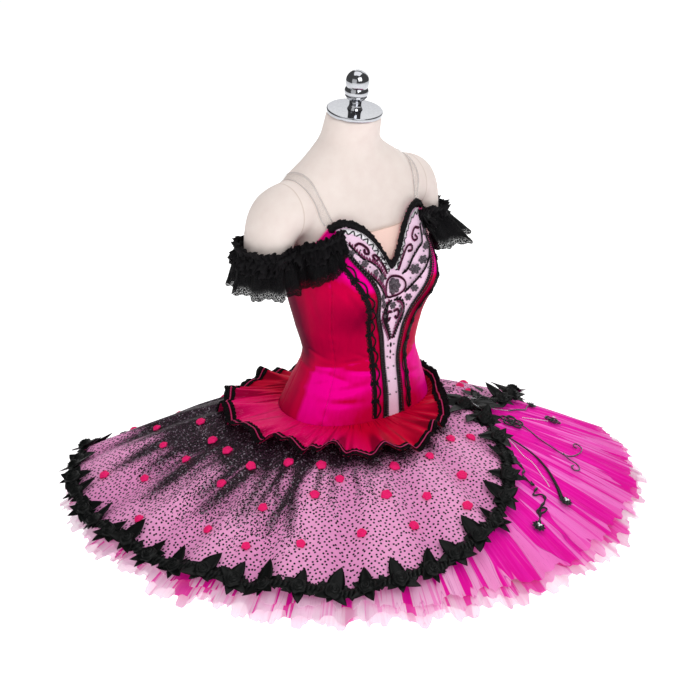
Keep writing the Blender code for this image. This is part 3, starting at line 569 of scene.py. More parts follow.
brocade, tree, shader, coords = finish_of("brocade_pale_pink", Roughness=0.42, Sheen_Weight=0.4)
figure = node(tree, "TexVoronoi", coords["UV"], feature="SMOOTH_F1", Scale=1050.0)
glint = node(tree, "TexNoise", coords["UV"], Scale=1900.0, Detail=3.0)
base = node(tree, "Mix", node(tree, "MapRange", figure, 0.2, 0.7), "#FFDDF5", "#F8CBEA", data_type="RGBA")
settle(shader, Normal=node(tree, "Bump", Strength=0.12, Distance=0.0006, Height=figure),
       Base_Color=node(tree, "Mix", node(tree, "MapRange", glint, 0.62, 0.72), base, "#FBEAF6",
                       data_type="RGBA"))
stomacher = cloth_piece("stomacher_brocade",
                        panel(1, lambda z: -stomacher_edge(z) + half_gap,
                              lambda z: stomacher_edge(z) - half_gap,
                              90, 140, creases=False), brocade, "brocade")
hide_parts("bodice_center_front")


def on_bodice(degrees, height, out):
    """Points over the bodice, degrees positive to the wearer's left."""
    degrees, height = np.broadcast_arrays(np.asarray(degrees, float), np.asarray(height, float))
    return body(facing(1, degrees), height, out + 0 * height)


def evenly(path, step):
    """A path of points read again at an even spacing."""
    length = np.concatenate([[0], np.cumsum(np.linalg.norm(np.diff(path, axis=0), axis=1))])
    at = np.linspace(0, length[-1], max(int(round(length[-1] / step)) + 1, 3))
    return np.stack([np.interp(at, length, path[:, i]) for i in range(3)], -1)


def frames_along(path, outward):
    """Tangent, sideways and outward unit vectors at each point of a path."""
    along = unit(np.gradient(path, axis=0))
    sideways = unit(np.cross(along, outward))
    return along, sideways, np.cross(sideways, along)


def cord_shape(path, outward, wide, high=None, sides=6):
    """A closed tube along a path: an oval of half sizes wide and high at every point."""
    _, sideways, up = frames_along(path, outward)
    turn = np.linspace(0, 2 * math.pi, sides, endpoint=False)
    wide = np.broadcast_to(np.asarray(wide, float), len(path))[:, None, None]
    high = wide if high is None else np.broadcast_to(np.asarray(high, float), len(path))[:, None, None]
    return tube(path[:, None] + sideways[:, None] * np.cos(turn)[None, :, None] * wide
                + up[:, None] * np.sin(turn)[None, :, None] * high)


def tube(rings):
    """Rings of points, an even number in each, as a tube closed at both ends."""
    count, sides = rings.shape[:2]
    ends = np.arange(0, sides - 2, 2)
    start = np.stack([0 * ends, ends + 1, ends + 2, ends + 3], -1)
    last = (count - 1) * sides
    return rings.reshape(-1, 3), np.concatenate([tube_faces(count, sides), start, start[:, ::-1] + last])


def outward_on_bodice(path):
    """Unit vectors from the figure's axis to each point, level."""
    away = path - np.array([0, section(0.5, "centre"), 0])
    away[:, 2] = 0
    return unit(away)


def bead_shape(sizes):
    """A cube blown up to a ball or an oval of half sizes along X, Y and Z: 24 faces on 26 points."""
    u, v = np.meshgrid([-1.0, 0.0, 1.0], [-1.0, 0.0, 1.0], indexing="ij")
    sheets, faces = [], []
    for side in range(6):
        sheet = np.stack([np.full((3, 3), 1.0 if side % 2 else -1.0), u, v], -1)
        sheets.append(np.roll(sheet, side // 2, axis=-1).reshape(-1, 3))
        faces.append((quads(3, 3) if side % 2 else quads(3, 3)[:, ::-1]) + 9 * side)
    points, numbers = np.unique(np.concatenate(sheets), axis=0, return_inverse=True)
    return unit(points) * sizes, numbers.reshape(-1)[np.concatenate(faces)]


def scattered(shape, places, along, up, scale=1.0, across=None):
    """A copy of a shape at every place, its X along, its Z up, and its Y across: up x along, if
    not given."""
    points, faces = shape
    scale = np.broadcast_to(np.asarray(scale, float), len(places))[:, None, None]
    across = np.cross(up, along) if across is None else across
    turned = (points[None, :, :1] * along[:, None] + points[None, :, 1:2] * across[:, None]
              + points[None, :, 2:] * up[:, None]) * scale + places[:, None]
    numbers = faces[None] + (np.arange(len(places)) * len(points))[:, None, None]
    return turned.reshape(-1, 3), numbers.reshape(-1, faces.shape[1])


def beads_along(path, outward, radius, step):
    """A row of beads touching along a path."""
    even = evenly(path, step)
    along, _, up = frames_along(even, outward(even))
    return scattered(bead_shape(radius), even, along, up)


def two_tone(name, dark, light, scale, detail=2.0, low=0.0, high=1.0, bump=None, **sockets):
    """A material that a noise of thread, grain or gloss takes from a dark tone to a light one, as
    the noise goes from low to high, and raises by a bump's strength and distance."""
    made, tree, shader, coords = finish_of(name, **sockets)
    grain = node(tree, "TexNoise", coords["Object"], Scale=scale, Detail=detail)
    settle(shader, Base_Color=node(tree, "Mix", node(tree, "MapRange", grain, low, high), dark, light,
                                   data_type="RGBA"))
    if bump:
        settle(shader, Normal=node(tree, "Bump", Strength=bump[0], Distance=bump[1], Height=grain))
    return made


# Glass seed beads and silk: a glint on each bead of 1 to 2 mm, and strands of 0.3 mm in the silk.
jet = two_tone("jet_beads_and_cord", "#0B0A0D", "#4A4650", 3500.0, 1.0, 0.60, 0.72, Roughness=0.28)
silk_black = two_tone("black_silk_cord", "#040203", "#1E0E18", 3000.0, 2.0, 0.4, 0.8, Roughness=0.6,
                      Specular_IOR_Level=0.15)
wine = two_tone("wine_silk_floss", "#4A0A2E", "#8C2460", 2500.0, Roughness=0.45, Specular_IOR_Level=0.3)
pewter = two_tone("pewter_seed_beads", "#4E4A52", "#C8C4CC", 4000.0, 1.0, 0.4, 0.65, Roughness=0.25,
                  Metallic=0.6)
smoky = two_tone("smoky_glass_beads", "#2A2028", "#A89CA8", 4500.0, 1.0, 0.50, 0.68, Roughness=0.3,
                 Metallic=0.2,
                 Specular_IOR_Level=0.3)

LIFT = SATIN_OUT + 0.0008
heights = np.linspace(HIP_SEAM_Z + 0.004, 0.695, 160)
edge_cords, edge_beads, edge_glints = [], [], []
for side in (-1, 1):
    # A cord on the seam, beads at either side of it and glints along its middle.
    cord, *rows, middle = (on_bodice(side * (stomacher_edge(heights) + shift), heights, LIFT + lift)
                           for shift, lift in ((-0.2, 0.0), (-1.9, 0.0016), (1.5, 0.0016), (-0.2, 0.0014)))
    edge_cords.append(cord_shape(cord, outward_on_bodice(cord), 0.0042, 0.0012))
    edge_beads += [beads_along(row, outward_on_bodice, 0.0018, 0.0042) for row in rows]
    edge_glints.append(beads_along(middle, outward_on_bodice, 0.0009, 0.0064))
piece("stomacher_edge_cord", joined(*edge_cords), silk_black)
piece("stomacher_edge_glints", joined(*edge_glints), pewter)
piece("stomacher_edge_beads", joined(*edge_beads), jet)

# Embroidery: each row is a strand drawn through a few places, in degrees
# from the centre front and height; the other side mirrors it.
VINES = {
    "wing_vine": ((6.5, 0.604), (10.5, 0.612), (15.0, 0.629), (21.0, 0.642), (28.0, 0.652), (34.5, 0.676)),
    "outer_vine": ((8.0, 0.570), (11.5, 0.580), (15.5, 0.592), (20.5, 0.606), (26.0, 0.621), (32.5, 0.637)),
    "low_vine": ((0.8, 0.558), (5.2, 0.556), (8.0, 0.545), (8.2, 0.530), (5.8, 0.514), (3.2, 0.500),
                 (0.9, 0.482)),
}
SCROLLS = {
    "wing_scroll": ((30.0, 0.672), (25.0, 0.674), (20.0, 0.664), (20.5, 0.656), (24.0, 0.658), (23.0, 0.664)),
    "collar_scroll": ((4.5, 0.612), (8.0, 0.630), (13.0, 0.648), (17.0, 0.650), (16.0, 0.642), (13.2, 0.641)),
    "inner_scroll": ((0.8, 0.536), (3.6, 0.538), (4.8, 0.529), (3.2, 0.521), (1.8, 0.526)),
}
FLOWERS = table(
    "degrees height size",
    (0.0, 0.584, 2.0), (15.0, 0.611, 1.30), (22.0, 0.625, 1.15), (29.0, 0.643, 1.05), (11.0, 0.560, 0.9),
    (35.8, 0.662, 0.9), (0.0, 0.548, 0.9), (7.0, 0.535, 0.7), (14.6, 0.577, 0.9))
DROPS = table("height long", (0.470, 0.0050), (0.456, 0.0040), (0.444, 0.0030))
# Single beads strewn between the strands.
STREWN = table(
    "degrees height",
    (5.0, 0.622), (11.5, 0.624), (11.6, 0.596), (17.5, 0.618), (17.5, 0.635), (25.0, 0.637), (25.5, 0.648),
    (31.5, 0.660), (32.0, 0.648), (18.5, 0.596), (24.5, 0.611), (30.0, 0.629), (10.5, 0.545), (3.0, 0.512),
    (27.0, 0.664), (10.0, 0.638), (2.6, 0.470), (2.8, 0.448), (36.0, 0.676), (8.6, 0.518), (5.0, 0.544),
    (2.4, 0.425), (2.6, 0.400), (2.4, 0.375))


def curve_through(points, count):
    """Catmull-Rom curve through rows of points."""
    points = np.asarray(points, float)
    padded = np.concatenate([2 * points[:1] - points[1:2], points, 2 * points[-1:] - points[-2:-1]])
    at = np.linspace(0, len(points) - 1, count)
    i = np.clip(at.astype(int), 0, len(points) - 2)
    t = (at - i)[:, None]
    a, b, c, d = (padded[i + k] for k in range(4))
    return 0.5 * (2 * b + (c - a) * t + (2 * a - 5 * b + 4 * c - d) * t**2 + (3 * b - a - 3 * c + d) * t**3)


def polar(turn, out=1.0, height=0.0):
    """Points at angles round an upright axis, so far out from it and so high."""
    return np.stack(np.broadcast_arrays(out * np.cos(turn), out * np.sin(turn), height), -1)


UP = np.array([0.0, 0.0, 1.0])


def upright(path):
    """The upward way at each point of a path."""
    return np.tile(UP, (len(path), 1))


def raised(shape, height):
    """A shape moved up."""
    return shape[0] + height * UP, shape[1]


def petal_flower(petals, radius, lift):
    """A flower of flat beads: petals round a middle, each an oval bead."""
    along = polar(np.linspace(0, 2 * math.pi, petals, endpoint=False))
    oval = bead_shape(radius * np.array([0.52, 0.36, 0.28]))
    ring = scattered(oval, along * radius * 0.55 + lift * UP, along, upright(along))
    return joined(ring, raised(bead_shape(radius * 0.30), lift + radius * 0.16))


def leaf_shape(long, wide, curl, rows=9):
    """A pointed ribbon leaf along X: a sine-shaped width, a crease down its middle and a lifted tip."""
    u = np.linspace(0, 1, rows)[:, None]
    v = np.linspace(-1, 1, 5)[None, :]
    half = wide / 2 * np.sin(math.pi * u**0.55)**0.85
    body_z = curl * long * u**2 + 0.30 * half * np.abs(v)
    thick = 0.0007 * (1 - v**2) * np.sin(math.pi * np.clip(u, 0.02, 0.98))
    top = np.stack([long * u + 0 * v, half * v, body_z + thick], -1)
    low = np.stack([long * u + 0 * v, half * v, body_z - thick], -1)
    grid = quads(rows, 5)
    return (np.concatenate([top.reshape(-1, 3), low.reshape(-1, 3)]),
            np.concatenate([grid, grid[:, ::-1] + rows * 5]))


def bodice_path(side, places, lift=0.0):
    """A smooth, evenly spaced path on the bodice through (degrees, height) places of one side."""
    way = curve_through(places, 60)
    return evenly(on_bodice(side * way[:, 0], way[:, 1], LIFT + lift), 0.002)


dark_strands, wine_strands, grey_beads, dark_leaves, wine_leaves = [], [], [], [], []
for side in (-1, 1):
    for places in VINES.values():
        path = bodice_path(side, places)
        away = outward_on_bodice(path)
        tangent, sideways, up = frames_along(path, away)
        dark_strands.append(cord_shape(path, away, 0.0021, 0.0014))
        for way, leaves in ((-1, dark_leaves), (1, wine_leaves)):
            at = np.arange(2 + (way > 0), len(path) - 1, 3)
            size = np.interp(at, (0, 0.4 * len(path), len(path)), (0.8, 1.05, 0.7))
            leaves.append(scattered(leaf_shape(0.0100, 0.0062, 0.05, 5), path[at],
                                    unit(0.75 * tangent[at] + way * sideways[at]), up[at], size))
    for places in SCROLLS.values():
        path = bodice_path(side, places)
        wine_strands.append(cord_shape(path, outward_on_bodice(path), 0.0030, 0.0013))
        dark_strands.append(beads_along(bodice_path(side, places, 0.0014), outward_on_bodice, 0.0015, 0.0030))
    place = on_bodice(side * STREWN["degrees"], STREWN["height"], LIFT + 0.0006)
    away = outward_on_bodice(place)
    grey_beads.append(scattered(bead_shape(0.0018), place, unit(np.cross(away, UP)), away))
# A ring of cord and beads frames the rosette.
turn = np.linspace(0, 2 * math.pi, 90)
ring, beaded = (on_bodice(8.6 * np.cos(turn), 0.584 + 0.0185 * np.sin(turn), LIFT + lift)
                for lift in (0, 0.0013))
wine_strands.append(cord_shape(ring, outward_on_bodice(ring), 0.0024, 0.0013))
dark_strands.append(beads_along(beaded[:-1], outward_on_bodice, 0.0014, 0.0030))


def set_on_bodice(shape, degrees, height, turn):
    """A shape set on the bodice with its X level, toward the place so many degrees on."""
    place = on_bodice(np.array([degrees, degrees + turn]), np.array([height, height]), LIFT)
    along, _, up = frames_along(place, outward_on_bodice(place))
    return scattered(shape, place[:1], along[:1], up[:1])


blossoms = [set_on_bodice(petal_flower(8 if size > 1.5 else 6, 0.0080 * size, 0.001), side * degrees,
                          height, 1)
            for degrees, height, size in zip(*FLOWERS.values()) for side in ((-1, 1) if degrees else (1,))]
dark_strands += [set_on_bodice(bead_shape(size * np.array([0.42, 1, 0.4])), 0.0, height, 0.5)
                 for height, size in zip(*DROPS.values())]
piece("sprig_cords", joined(*dark_strands, *dark_leaves), silk_black, sewn=True)
piece("sprig_floss", joined(*wine_strands, *wine_leaves), wine, sewn=True)
piece("sprig_beads", joined(*grey_beads), pewter)
piece("sprig_flowers", joined(*blossoms), smoky)


# ---- the neckline -----------------------------------------------------------
# Skin-coloured net closes the V. The sweetheart edge is bound in hot pink
# satin piping and carries a ruched black braid; under it a scalloped silver
# cord runs along the top of the stomacher.

skin_net, tree, shader, coords = finish_of("power_net_skin", Roughness=0.7)
# Meshes of the net, about 0.15 mm apart.
mesh_grain = node(tree, "TexVoronoi", coords["Object"], Scale=7000.0)
settle(shader, Normal=node(tree, "Bump", Strength=0.2, Distance=0.0003, Height=mesh_grain),
       Base_Color=node(tree, "Mix", node(tree, "MapRange", mesh_grain, 0.1, 0.6), "#FFE3D8", "#FFD9CC",
                       data_type="RGBA"))
INSERT_LOW, INSERT_HIGH, INSERT_SAG = 0.613, 0.693, 0.0065
share = np.linspace(-1, 1, 40)[:, None]
edge_height = INSERT_HIGH - INSERT_SAG * (1 - share**2)
height = INSERT_LOW + (edge_height - INSERT_LOW) * np.linspace(0, 1, 50)[None, :]
half_width = np.maximum(2.5, (height - neckline(0)) / 0.0034 + 4.0)
out = np.interp(height, (INSERT_LOW, INSERT_HIGH), (-0.0016, 0.0006))
uv = np.stack([share * np.radians(half_width) * 0.1, height], -1)
over, under = (body(facing(1, share * half_width), height, out + lift) for lift in (0.0002, -0.0008))
insert = cloth_piece("net_insert", wall_of(over, under, uv), skin_net, "skin_net")
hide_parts("neckline_insert")

bound = two_tone("net_binding_elastic", "#D2B9AA", "#E3CCBE", 2500.0, 1.0, Roughness=0.5)
path = body(facing(1, (share * half_width)[:, -1]), edge_height[:, 0], 0.0010 + 0 * edge_height[:, 0])
piece("net_insert_binding", cord_shape(path, outward_on_bodice(path), 0.0011, 0.0006), bound)

piping_pink = two_tone("satin_piping_hot_pink", "#F0207F", "#FF5CB0", 1500.0, Roughness=0.32)
degrees = np.linspace(-180, 180, 720)
path = on_bodice(degrees, neckline(degrees) + 0.0008, BODICE_CLEAR + 0.0009)
piece("neckline_piping", cord_shape(path, outward_on_bodice(path), 0.0015, sides=8), piping_pink)

# Black cotton lace and braid: matt, with the thread just catching light.
lace_black = two_tone("lace_black_cotton", "#030204", "#2A242C", 2100.0, 4.0, 0.50, 0.80, (0.6, 0.0012),
                      Roughness=0.6, Specular_IOR_Level=0.22)


def ruched(path, outward, wide, high, gathers, seed=0.0, sides=10):
    """A gathered tube of braid: an oval whose size and place wander with every gather."""
    along = np.arange(len(path)) / len(path)
    phase = 2 * math.pi * gathers * along + 1.3 * np.sin(23 * along + seed)
    _, sideways, up = frames_along(path, outward)
    turn = np.linspace(0, 2 * math.pi, sides, endpoint=False)[None, :]
    crimp = 1 + 0.34 * np.sin(phase)[:, None] * np.cos(2 * turn + phase[:, None] * 0.5) \
        + 0.18 * np.sin(2.7 * phase[:, None] + 3 * turn)
    x = np.cos(turn) * wide * crimp + 0.16 * wide * np.sin(phase * 0.5 + seed)[:, None]
    y = np.sin(turn) * high * crimp + 0.14 * high * np.cos(1.7 * phase)[:, None]
    return tube(path[:, None] + sideways[:, None] * x[..., None] + up[:, None] * y[..., None])


degrees = np.linspace(-46, 46, 700)
path = evenly(on_bodice(degrees, neckline(degrees) - 0.0016, 0.0070), 0.0007)
away = outward_on_bodice(path)
_, sideways, _ = frames_along(path, away)
plait = 2 * math.pi * np.arange(len(path)) * 0.0007 / 0.0145
strands = [ruched(path + sideways * (0.0038 * np.sin(plait + turn))[:, None]
                  + away * (0.0014 * np.cos(2 * (plait + turn)))[:, None], away, 0.0040, 0.0028, 75, turn, 8)
           for turn in (0, 2 * math.pi / 3, 4 * math.pi / 3)]
braid = piece("neckline_ruched_braid", joined(*strands), lace_black)
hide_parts("neckline_braid")

silver = two_tone("silver_thread", "#C6C1CB", "#FFFFFF", 4500.0, 1.0, 0.40, 0.56, Roughness=0.35,
                  Metallic=0.35)
BRAID_PITCH = 0.0150
silver_band, wavy = [], []
for side in (-1, 1):
    degrees = np.linspace(2.5, 38, 500)
    middle = evenly(on_bodice(side * degrees, neckline(degrees) - 0.0162, LIFT), 0.0009)
    away = outward_on_bodice(middle)
    _, sideways, up = frames_along(middle, away)
    run = np.arange(len(middle)) * 0.0009 / BRAID_PITCH
    silver_band.append(cord_shape(middle, away, 0.0054 + 0.0007 * np.cos(4 * math.pi * run), 0.0007, 8))
    for edge in (-1, 1):
        beside = middle + sideways * (edge * 0.0060) + up * 0.0004
        silver_band.append(beads_along(beside, outward_on_bodice, 0.0011, 0.0030))
    wave = middle + sideways * (0.0038 * np.sin(2 * math.pi * run))[:, None] + up * 0.0011
    wavy.append(cord_shape(wave, away, 0.0013, 0.0009))
piece("neckline_silver_band", joined(*silver_band), silver)
piece("neckline_black_wave", joined(*wavy), jet)


# ---- the straps -------------------------------------------------------------
# Clear elastic, 16 mm wide: nearly invisible, a pale gloss and two soft edges.

elastic, tree, shader, coords = finish_of("clear_elastic", Roughness=0.22)
from_middle = node(tree, "Math", node(tree, "SeparateXYZ", coords["UV"]), operation="ABSOLUTE")
rim = node(tree, "MapRange", from_middle, 0.55, 0.98)
settle(shader, Base_Color=node(tree, "Mix", rim, "#E9E3DF", "#C9C3C2", data_type="RGBA"),
       Alpha=node(tree, "MapRange", rim, 0.0, 1.0, 0.16, 0.50))
# Rays from inside the shoulder find the form's finished skin, which the strap lies on.
PIVOT_Y, PIVOT_Z = 0.012, 0.700
for side, word in ((-1, "right"), (1, "left")):
    layers = []
    for lift in (0.0022, 0.0013):
        rows = []
        for angle in np.radians(np.linspace(8, 212, 140)):
            middle = 0.100 + 0.022 * max(math.sin(angle), 0)
            inward = Vector((0, math.cos(angle), -math.sin(angle)))
            row = []
            for edge_x in np.linspace(-0.008, 0.008, 7):
                start = Vector((side * (middle + edge_x), PIVOT_Y, PIVOT_Z)) - 0.3 * inward
                hit, normal, _, _ = form_tree.ray_cast(start, inward)
                row.append(hit + normal * lift)
            rows.append(row)
        layers.append(np.array(rows))
    for _ in range(6):
        for grid in layers:
            grid[1:-1] = (grid[:-2] + 2 * grid[1:-1] + grid[2:]) / 4
    uv = np.stack([np.tile(np.linspace(-1, 1, 7), (140, 1)),
                   np.tile(np.linspace(0, 1, 140)[:, None], (1, 7))], -1)
    strap = cloth_piece(f"elastic_strap_{word}", wall_of(*layers, uv), elastic, "clear_elastic")
    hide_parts(f"strap_{word}")


# ---- the lace ruffles -------------------------------------------------------
# Off-shoulder ruffles of wide black lace gathered on a puffed heading: dense
# in the gathers, open and flowered toward the scalloped lower edge.

SLEEVE_FRONT = table(
    "degrees height drop out", (37, 0.693, 0.024, 0.0091), (46, 0.688, 0.052, 0.0100),
    (57, 0.680, 0.062, 0.0105))
SLEEVE_BACK = table("degrees height drop out", (132, 0.648, 0.060, 0.0095), (146, 0.640, 0.030, 0.0051))
SLEEVE_ROUND_ARM = table(
    "bearing height", (-112, 0.670), (-70, 0.664), (-30, 0.662), (10, 0.662), (50, 0.662), (90, 0.662),
    (122, 0.660))
ARM_MIDDLE = (0.178, 0.0286)
SLEEVE_WAVES = 13
SLEEVES = (("right", -1, 0.016, 0.074), ("left", 1, 0.052, 0.055))


def sleeve_row(side, down, flare, arm_drop):
    """Places of one level of a ruffle: over the bodice's front, round the arm, over its back."""
    bearing = np.radians(SLEEVE_ROUND_ARM["bearing"])
    round_arm = np.stack([side * (ARM_MIDDLE[0] + (0.046 + flare * down) * np.cos(bearing)),
                          ARM_MIDDLE[1] + (0.060 + flare * down) * np.sin(bearing),
                          SLEEVE_ROUND_ARM["height"] - arm_drop * down], -1)
    front, back = (body(facing(side, t["degrees"]), t["height"] - t["drop"] * down, t["out"] + 0.004 * down)
                   for t in (SLEEVE_FRONT, SLEEVE_BACK))
    return np.concatenate([front, round_arm, back])


def ruffle_sheet(side, flare, arm_drop, count=520, levels=22):
    """Grid over a ruffle: thirteen soft waves that grow downward, small gathers that fade, and a
    scalloped hem."""
    at = np.linspace(0, 1, count)
    sheet, ways = [], []
    for down in np.linspace(0, 1, levels):
        reach = down * (1 + 0.055 * (np.abs(np.sin(math.pi * 44 * at)) - 0.5) * (down > 0.9))
        row = curve_through(sleeve_row(side, down, flare, arm_drop), count)
        row[:, 2] -= 0.055 * (reach - down)
        along = np.gradient(row, axis=0)
        normal = side * unit(np.cross(along, UP))
        flatter = np.clip(np.minimum(at - 0.12, 0.97 - at) / 0.12, 0.28, 1)
        wave = np.sin(2 * math.pi * (SLEEVE_WAVES * at + 0.35 * np.sin(5 * at)))
        gather = np.sin(2 * math.pi * (47 * at + 0.8 * np.sin(9 * at + 2 * down)))
        size = (0.0012 + 0.0085 * down) * flatter * wave + 0.0011 * (1 - down)**0.7 * gather
        sheet.append(row + normal * size[:, None])
        ways.append(normal)
    return np.stack(sheet, 1), np.stack(ways, 1)


def frill(path, stand, sway, deep, wave, pitch, seed=0.0, levels=6):
    """A gathered edge standing off a path: uneven folds that open toward a scalloped rim."""
    sway = np.broadcast_to(sway, path.shape)
    run = np.concatenate([[0], np.cumsum(np.linalg.norm(np.diff(path, axis=0), axis=1))])[:, None]
    turn = 2 * math.pi * run / pitch
    turn = turn + 0.9 * np.sin(0.23 * turn + seed) + 0.6 * np.sin(0.61 * turn + 2 * seed)
    down = np.linspace(0, 1, levels)[None, :]
    rim = deep * (1 + 0.22 * np.sin(0.37 * turn + seed) + 0.16 * np.abs(np.sin(1.5 * turn)))
    sheet = (path[:, None] + stand[:, None] * (rim * down)[..., None]
             + sway[:, None] * (wave * down**0.7 * np.sin(turn + 0.5 * down))[..., None])
    thick = sway[:, None] * 0.0004
    return wall_of(sheet + thick, sheet - thick, np.stack([run + 0 * down, rim * down], -1))


# Flowers of dense stitches, 3 mm apart, with a net of 0.8 mm cells open between them.
lace_open = two_tone("lace_black_open", "#020203", "#1A181D", 2100.0, 4.0, 0.45, 0.75, (0.6, 0.0012),
                     Roughness=0.75, Specular_IOR_Level=0.15)
tree = lace_open.node_tree
flat_lace = node(tree, "TexCoord").outputs["UV"]
cells = node(tree, "TexVoronoi", flat_lace, feature="DISTANCE_TO_EDGE", voronoi_dimensions="2D", Scale=1300.0)
motif = node(tree, "TexVoronoi", flat_lace, voronoi_dimensions="2D", Scale=310.0)
hole = node(tree, "Math", node(tree, "MapRange", cells, 0.10, 0.20),
            node(tree, "MapRange", motif, 0.30, 0.40),
            operation="MULTIPLY")
openness = node(tree, "Attribute", attribute_name="open").outputs["Fac"]
cut_away = node(tree, "Math", hole, openness, operation="MULTIPLY")
settle(tree.nodes["Principled BSDF"], Alpha=node(tree, "Math", 1.0, cut_away, operation="SUBTRACT"))

for word, side, flare, arm_drop in SLEEVES:
    sheet, ways = ruffle_sheet(side, flare, arm_drop)
    rows, levels = sheet.shape[:2]
    down = np.tile(np.linspace(0, 1, levels), (rows, 1))
    uv = np.stack([np.tile(np.linspace(0, 0.85, rows)[:, None], (1, levels)), 0.075 * down], -1)
    open_here = 0.10 + 0.85 * np.clip((down - 0.74) / 0.14, 0, 1)
    made = cloth_piece(f"lace_ruffle_{word}", wall_of(sheet + ways * 0.0004, sheet - ways * 0.0004, uv),
                       lace_open, "black_lace", open=open_here)
    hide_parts(f"sleeve_ruffle_{word}")
    heading = evenly(sheet[:, 1], 0.0011)
    level_out = unit((heading - np.array([side * 0.10, 0.01, 0])) * np.array([1, 1, 0]))
    parts = [ruched(heading - UP * 0.002, unit(level_out + 0.35 * UP), 0.0080, 0.0046, 46, side)]
    # Three frills: how far out and down each is rooted, the way it stands, its sway and its sizes.
    for out, down, stand, sway, sizes, seed in (
            (0.003, 0.0, 0.35 * level_out + UP, level_out, (0.0125, 0.0058, 0.0135), side),
            (0.003, 0.004, 0.9 * level_out - 0.75 * UP, UP, (0.0170, 0.0050, 0.0150), 2.2 * side),
            (0.004, 0.014, 0.55 * level_out - UP, level_out, (0.0150, 0.0046, 0.0140), 3.1 * side)):
        parts.append(frill(heading + level_out * out - UP * down, unit(stand), sway, *sizes, seed)[0])
    piece(f"ruffle_heading_{word}", joined(*parts), lace_black, sewn=True)


# ---- the chain lace strips --------------------------------------------------
# A corded black chain lace stitched down each side front: two strands that
# cross, a bud where they meet, arches toward the stomacher and small picots.

STRIP = table(
    "height degrees", (0.336, 14.5), (0.390, 15.8), (0.470, 19.6), (0.550, 27.6), (0.620, 41.5),
    (0.650, 47.5))
CHAIN_PITCH = 0.034


def chain_lace(path, outward, inner_way):
    """Corded curves beside a path: strands that cross at every bud, arches of |sin| one side and
    picots the other."""
    step = 0.0011
    even = evenly(path, step)
    away = outward(even)
    _, sideways, up = frames_along(even, away)
    run = np.arange(len(even)) * step / CHAIN_PITCH
    bulge = np.sin(math.pi * run)
    edges = ((0.0021 * bulge, 0.0022), (-0.0021 * bulge, 0.0022),
             (inner_way * (0.0030 + 0.0078 * np.abs(bulge)), 0.0016),
             (-inner_way * (0.0034 + 0.0028 * np.abs(np.sin(4 * math.pi * run))), 0.0011))
    shapes = [cord_shape(even + sideways * off[:, None], away, thick, 0.0011) for off, thick in edges]
    buds = (np.arange(1, int(run[-1]) + 1) * CHAIN_PITCH / step).astype(int)
    for shift, size in ((0.0, 1.25), (inner_way * 0.0050, 0.75), (-inner_way * 0.0052, 0.75)):
        places = even[buds] + sideways[buds] * shift
        shapes.append(scattered(petal_flower(5, 0.0054, 0.0008), places,
                                unit(np.cross(sideways[buds], up[buds])),
                                up[buds], size))
    return joined(*shapes)


heights = np.linspace(STRIP["height"][0], STRIP["height"][-1], 240)
for side, word in ((-1, "right"), (1, "left")):
    path = on_bodice(side * smooth(heights, STRIP["height"], STRIP["degrees"]), heights, LIFT)
    piece(f"chain_lace_{word}", chain_lace(path, outward_on_bodice, -side), lace_black)


# ---- the nets ---------------------------------------------------------------
# Gathered rings of nylon tulle sewn to a hip band: hot magenta on top, a
# softer pink under it, and a pale washed-out lowest layer that shows beyond.

SKIRT_TOP_Z = 0.326
HIP_RADIUS = 0.140
NET_RADIUS = 0.552
HEM_Z = 0.176
BACK_DROOP = 0.124
DROOP_FACING = math.radians(58.0)
DROOP_HALF = math.radians(64.5)
DOME_POWER = 1.32
OVERLAY_HIP_LIFT = 0.0026
NET_CLEAR = 0.0002


def cone(bearing, reach):
    """Height of the skirt's middle surface: a dome that droops behind, as
    exp(-(bearing from there / half)**5)."""
    share = np.clip((reach - HIP_RADIUS) / (NET_RADIUS - HIP_RADIUS), 0, 1.2)
    away = np.abs((bearing - DROOP_FACING + math.pi) % (2 * math.pi) - math.pi) / DROOP_HALF
    dome = SKIRT_TOP_Z - (SKIRT_TOP_Z - HEM_Z) * share**DOME_POWER
    return dome - BACK_DROOP * np.exp(-away**5) * share**1.06


def spread(reach):
    """0 at the hips, 1 at the hem."""
    return np.interp(reach, (HIP_RADIUS, NET_RADIUS), (0, 1))


def folds(bearing, count, wander):
    """Uneven waves round the skirt, each way from -1 to 1."""
    return np.sin(count * bearing + wander * np.sin(3 * bearing + 0.7) + 0.5 * wander * np.cos(5 * bearing))


def upper_net(bearing, reach):
    """Top of the magenta net, which meets the overlay at the hips."""
    meet = np.interp(reach, (HIP_RADIUS, 0.25), (OVERLAY_HIP_LIFT - SEAM_GAP, 0))
    return cone(bearing, reach) + meet + 0.0028 * spread(reach) * folds(bearing, 28, 1.0)


def lower_net(bearing, reach):
    """Top of the softer pink net."""
    drop = np.interp(reach, (HIP_RADIUS, 0.30), (0, 0.0100))
    return cone(bearing, reach) - drop + 0.0040 * spread(reach) * folds(bearing, 17, 1.6)


def lowest_net(bearing, reach):
    """Top of the palest net, well under the others."""
    drop = np.interp(reach, (HIP_RADIUS, 0.30), (0.004, 0.0150))
    return cone(bearing, reach) - drop + 0.0060 * spread(reach) * folds(bearing + 0.4, 13, 1.9)


def hip_ring(count, height, out):
    """Plan points round the hips with their bearings."""
    angle = np.linspace(-math.pi, math.pi, count, endpoint=False)
    ring = body(angle, np.full(count, height), np.full(count, out))
    return ring[:, :2], np.arctan2(ring[:, 1], ring[:, 0])


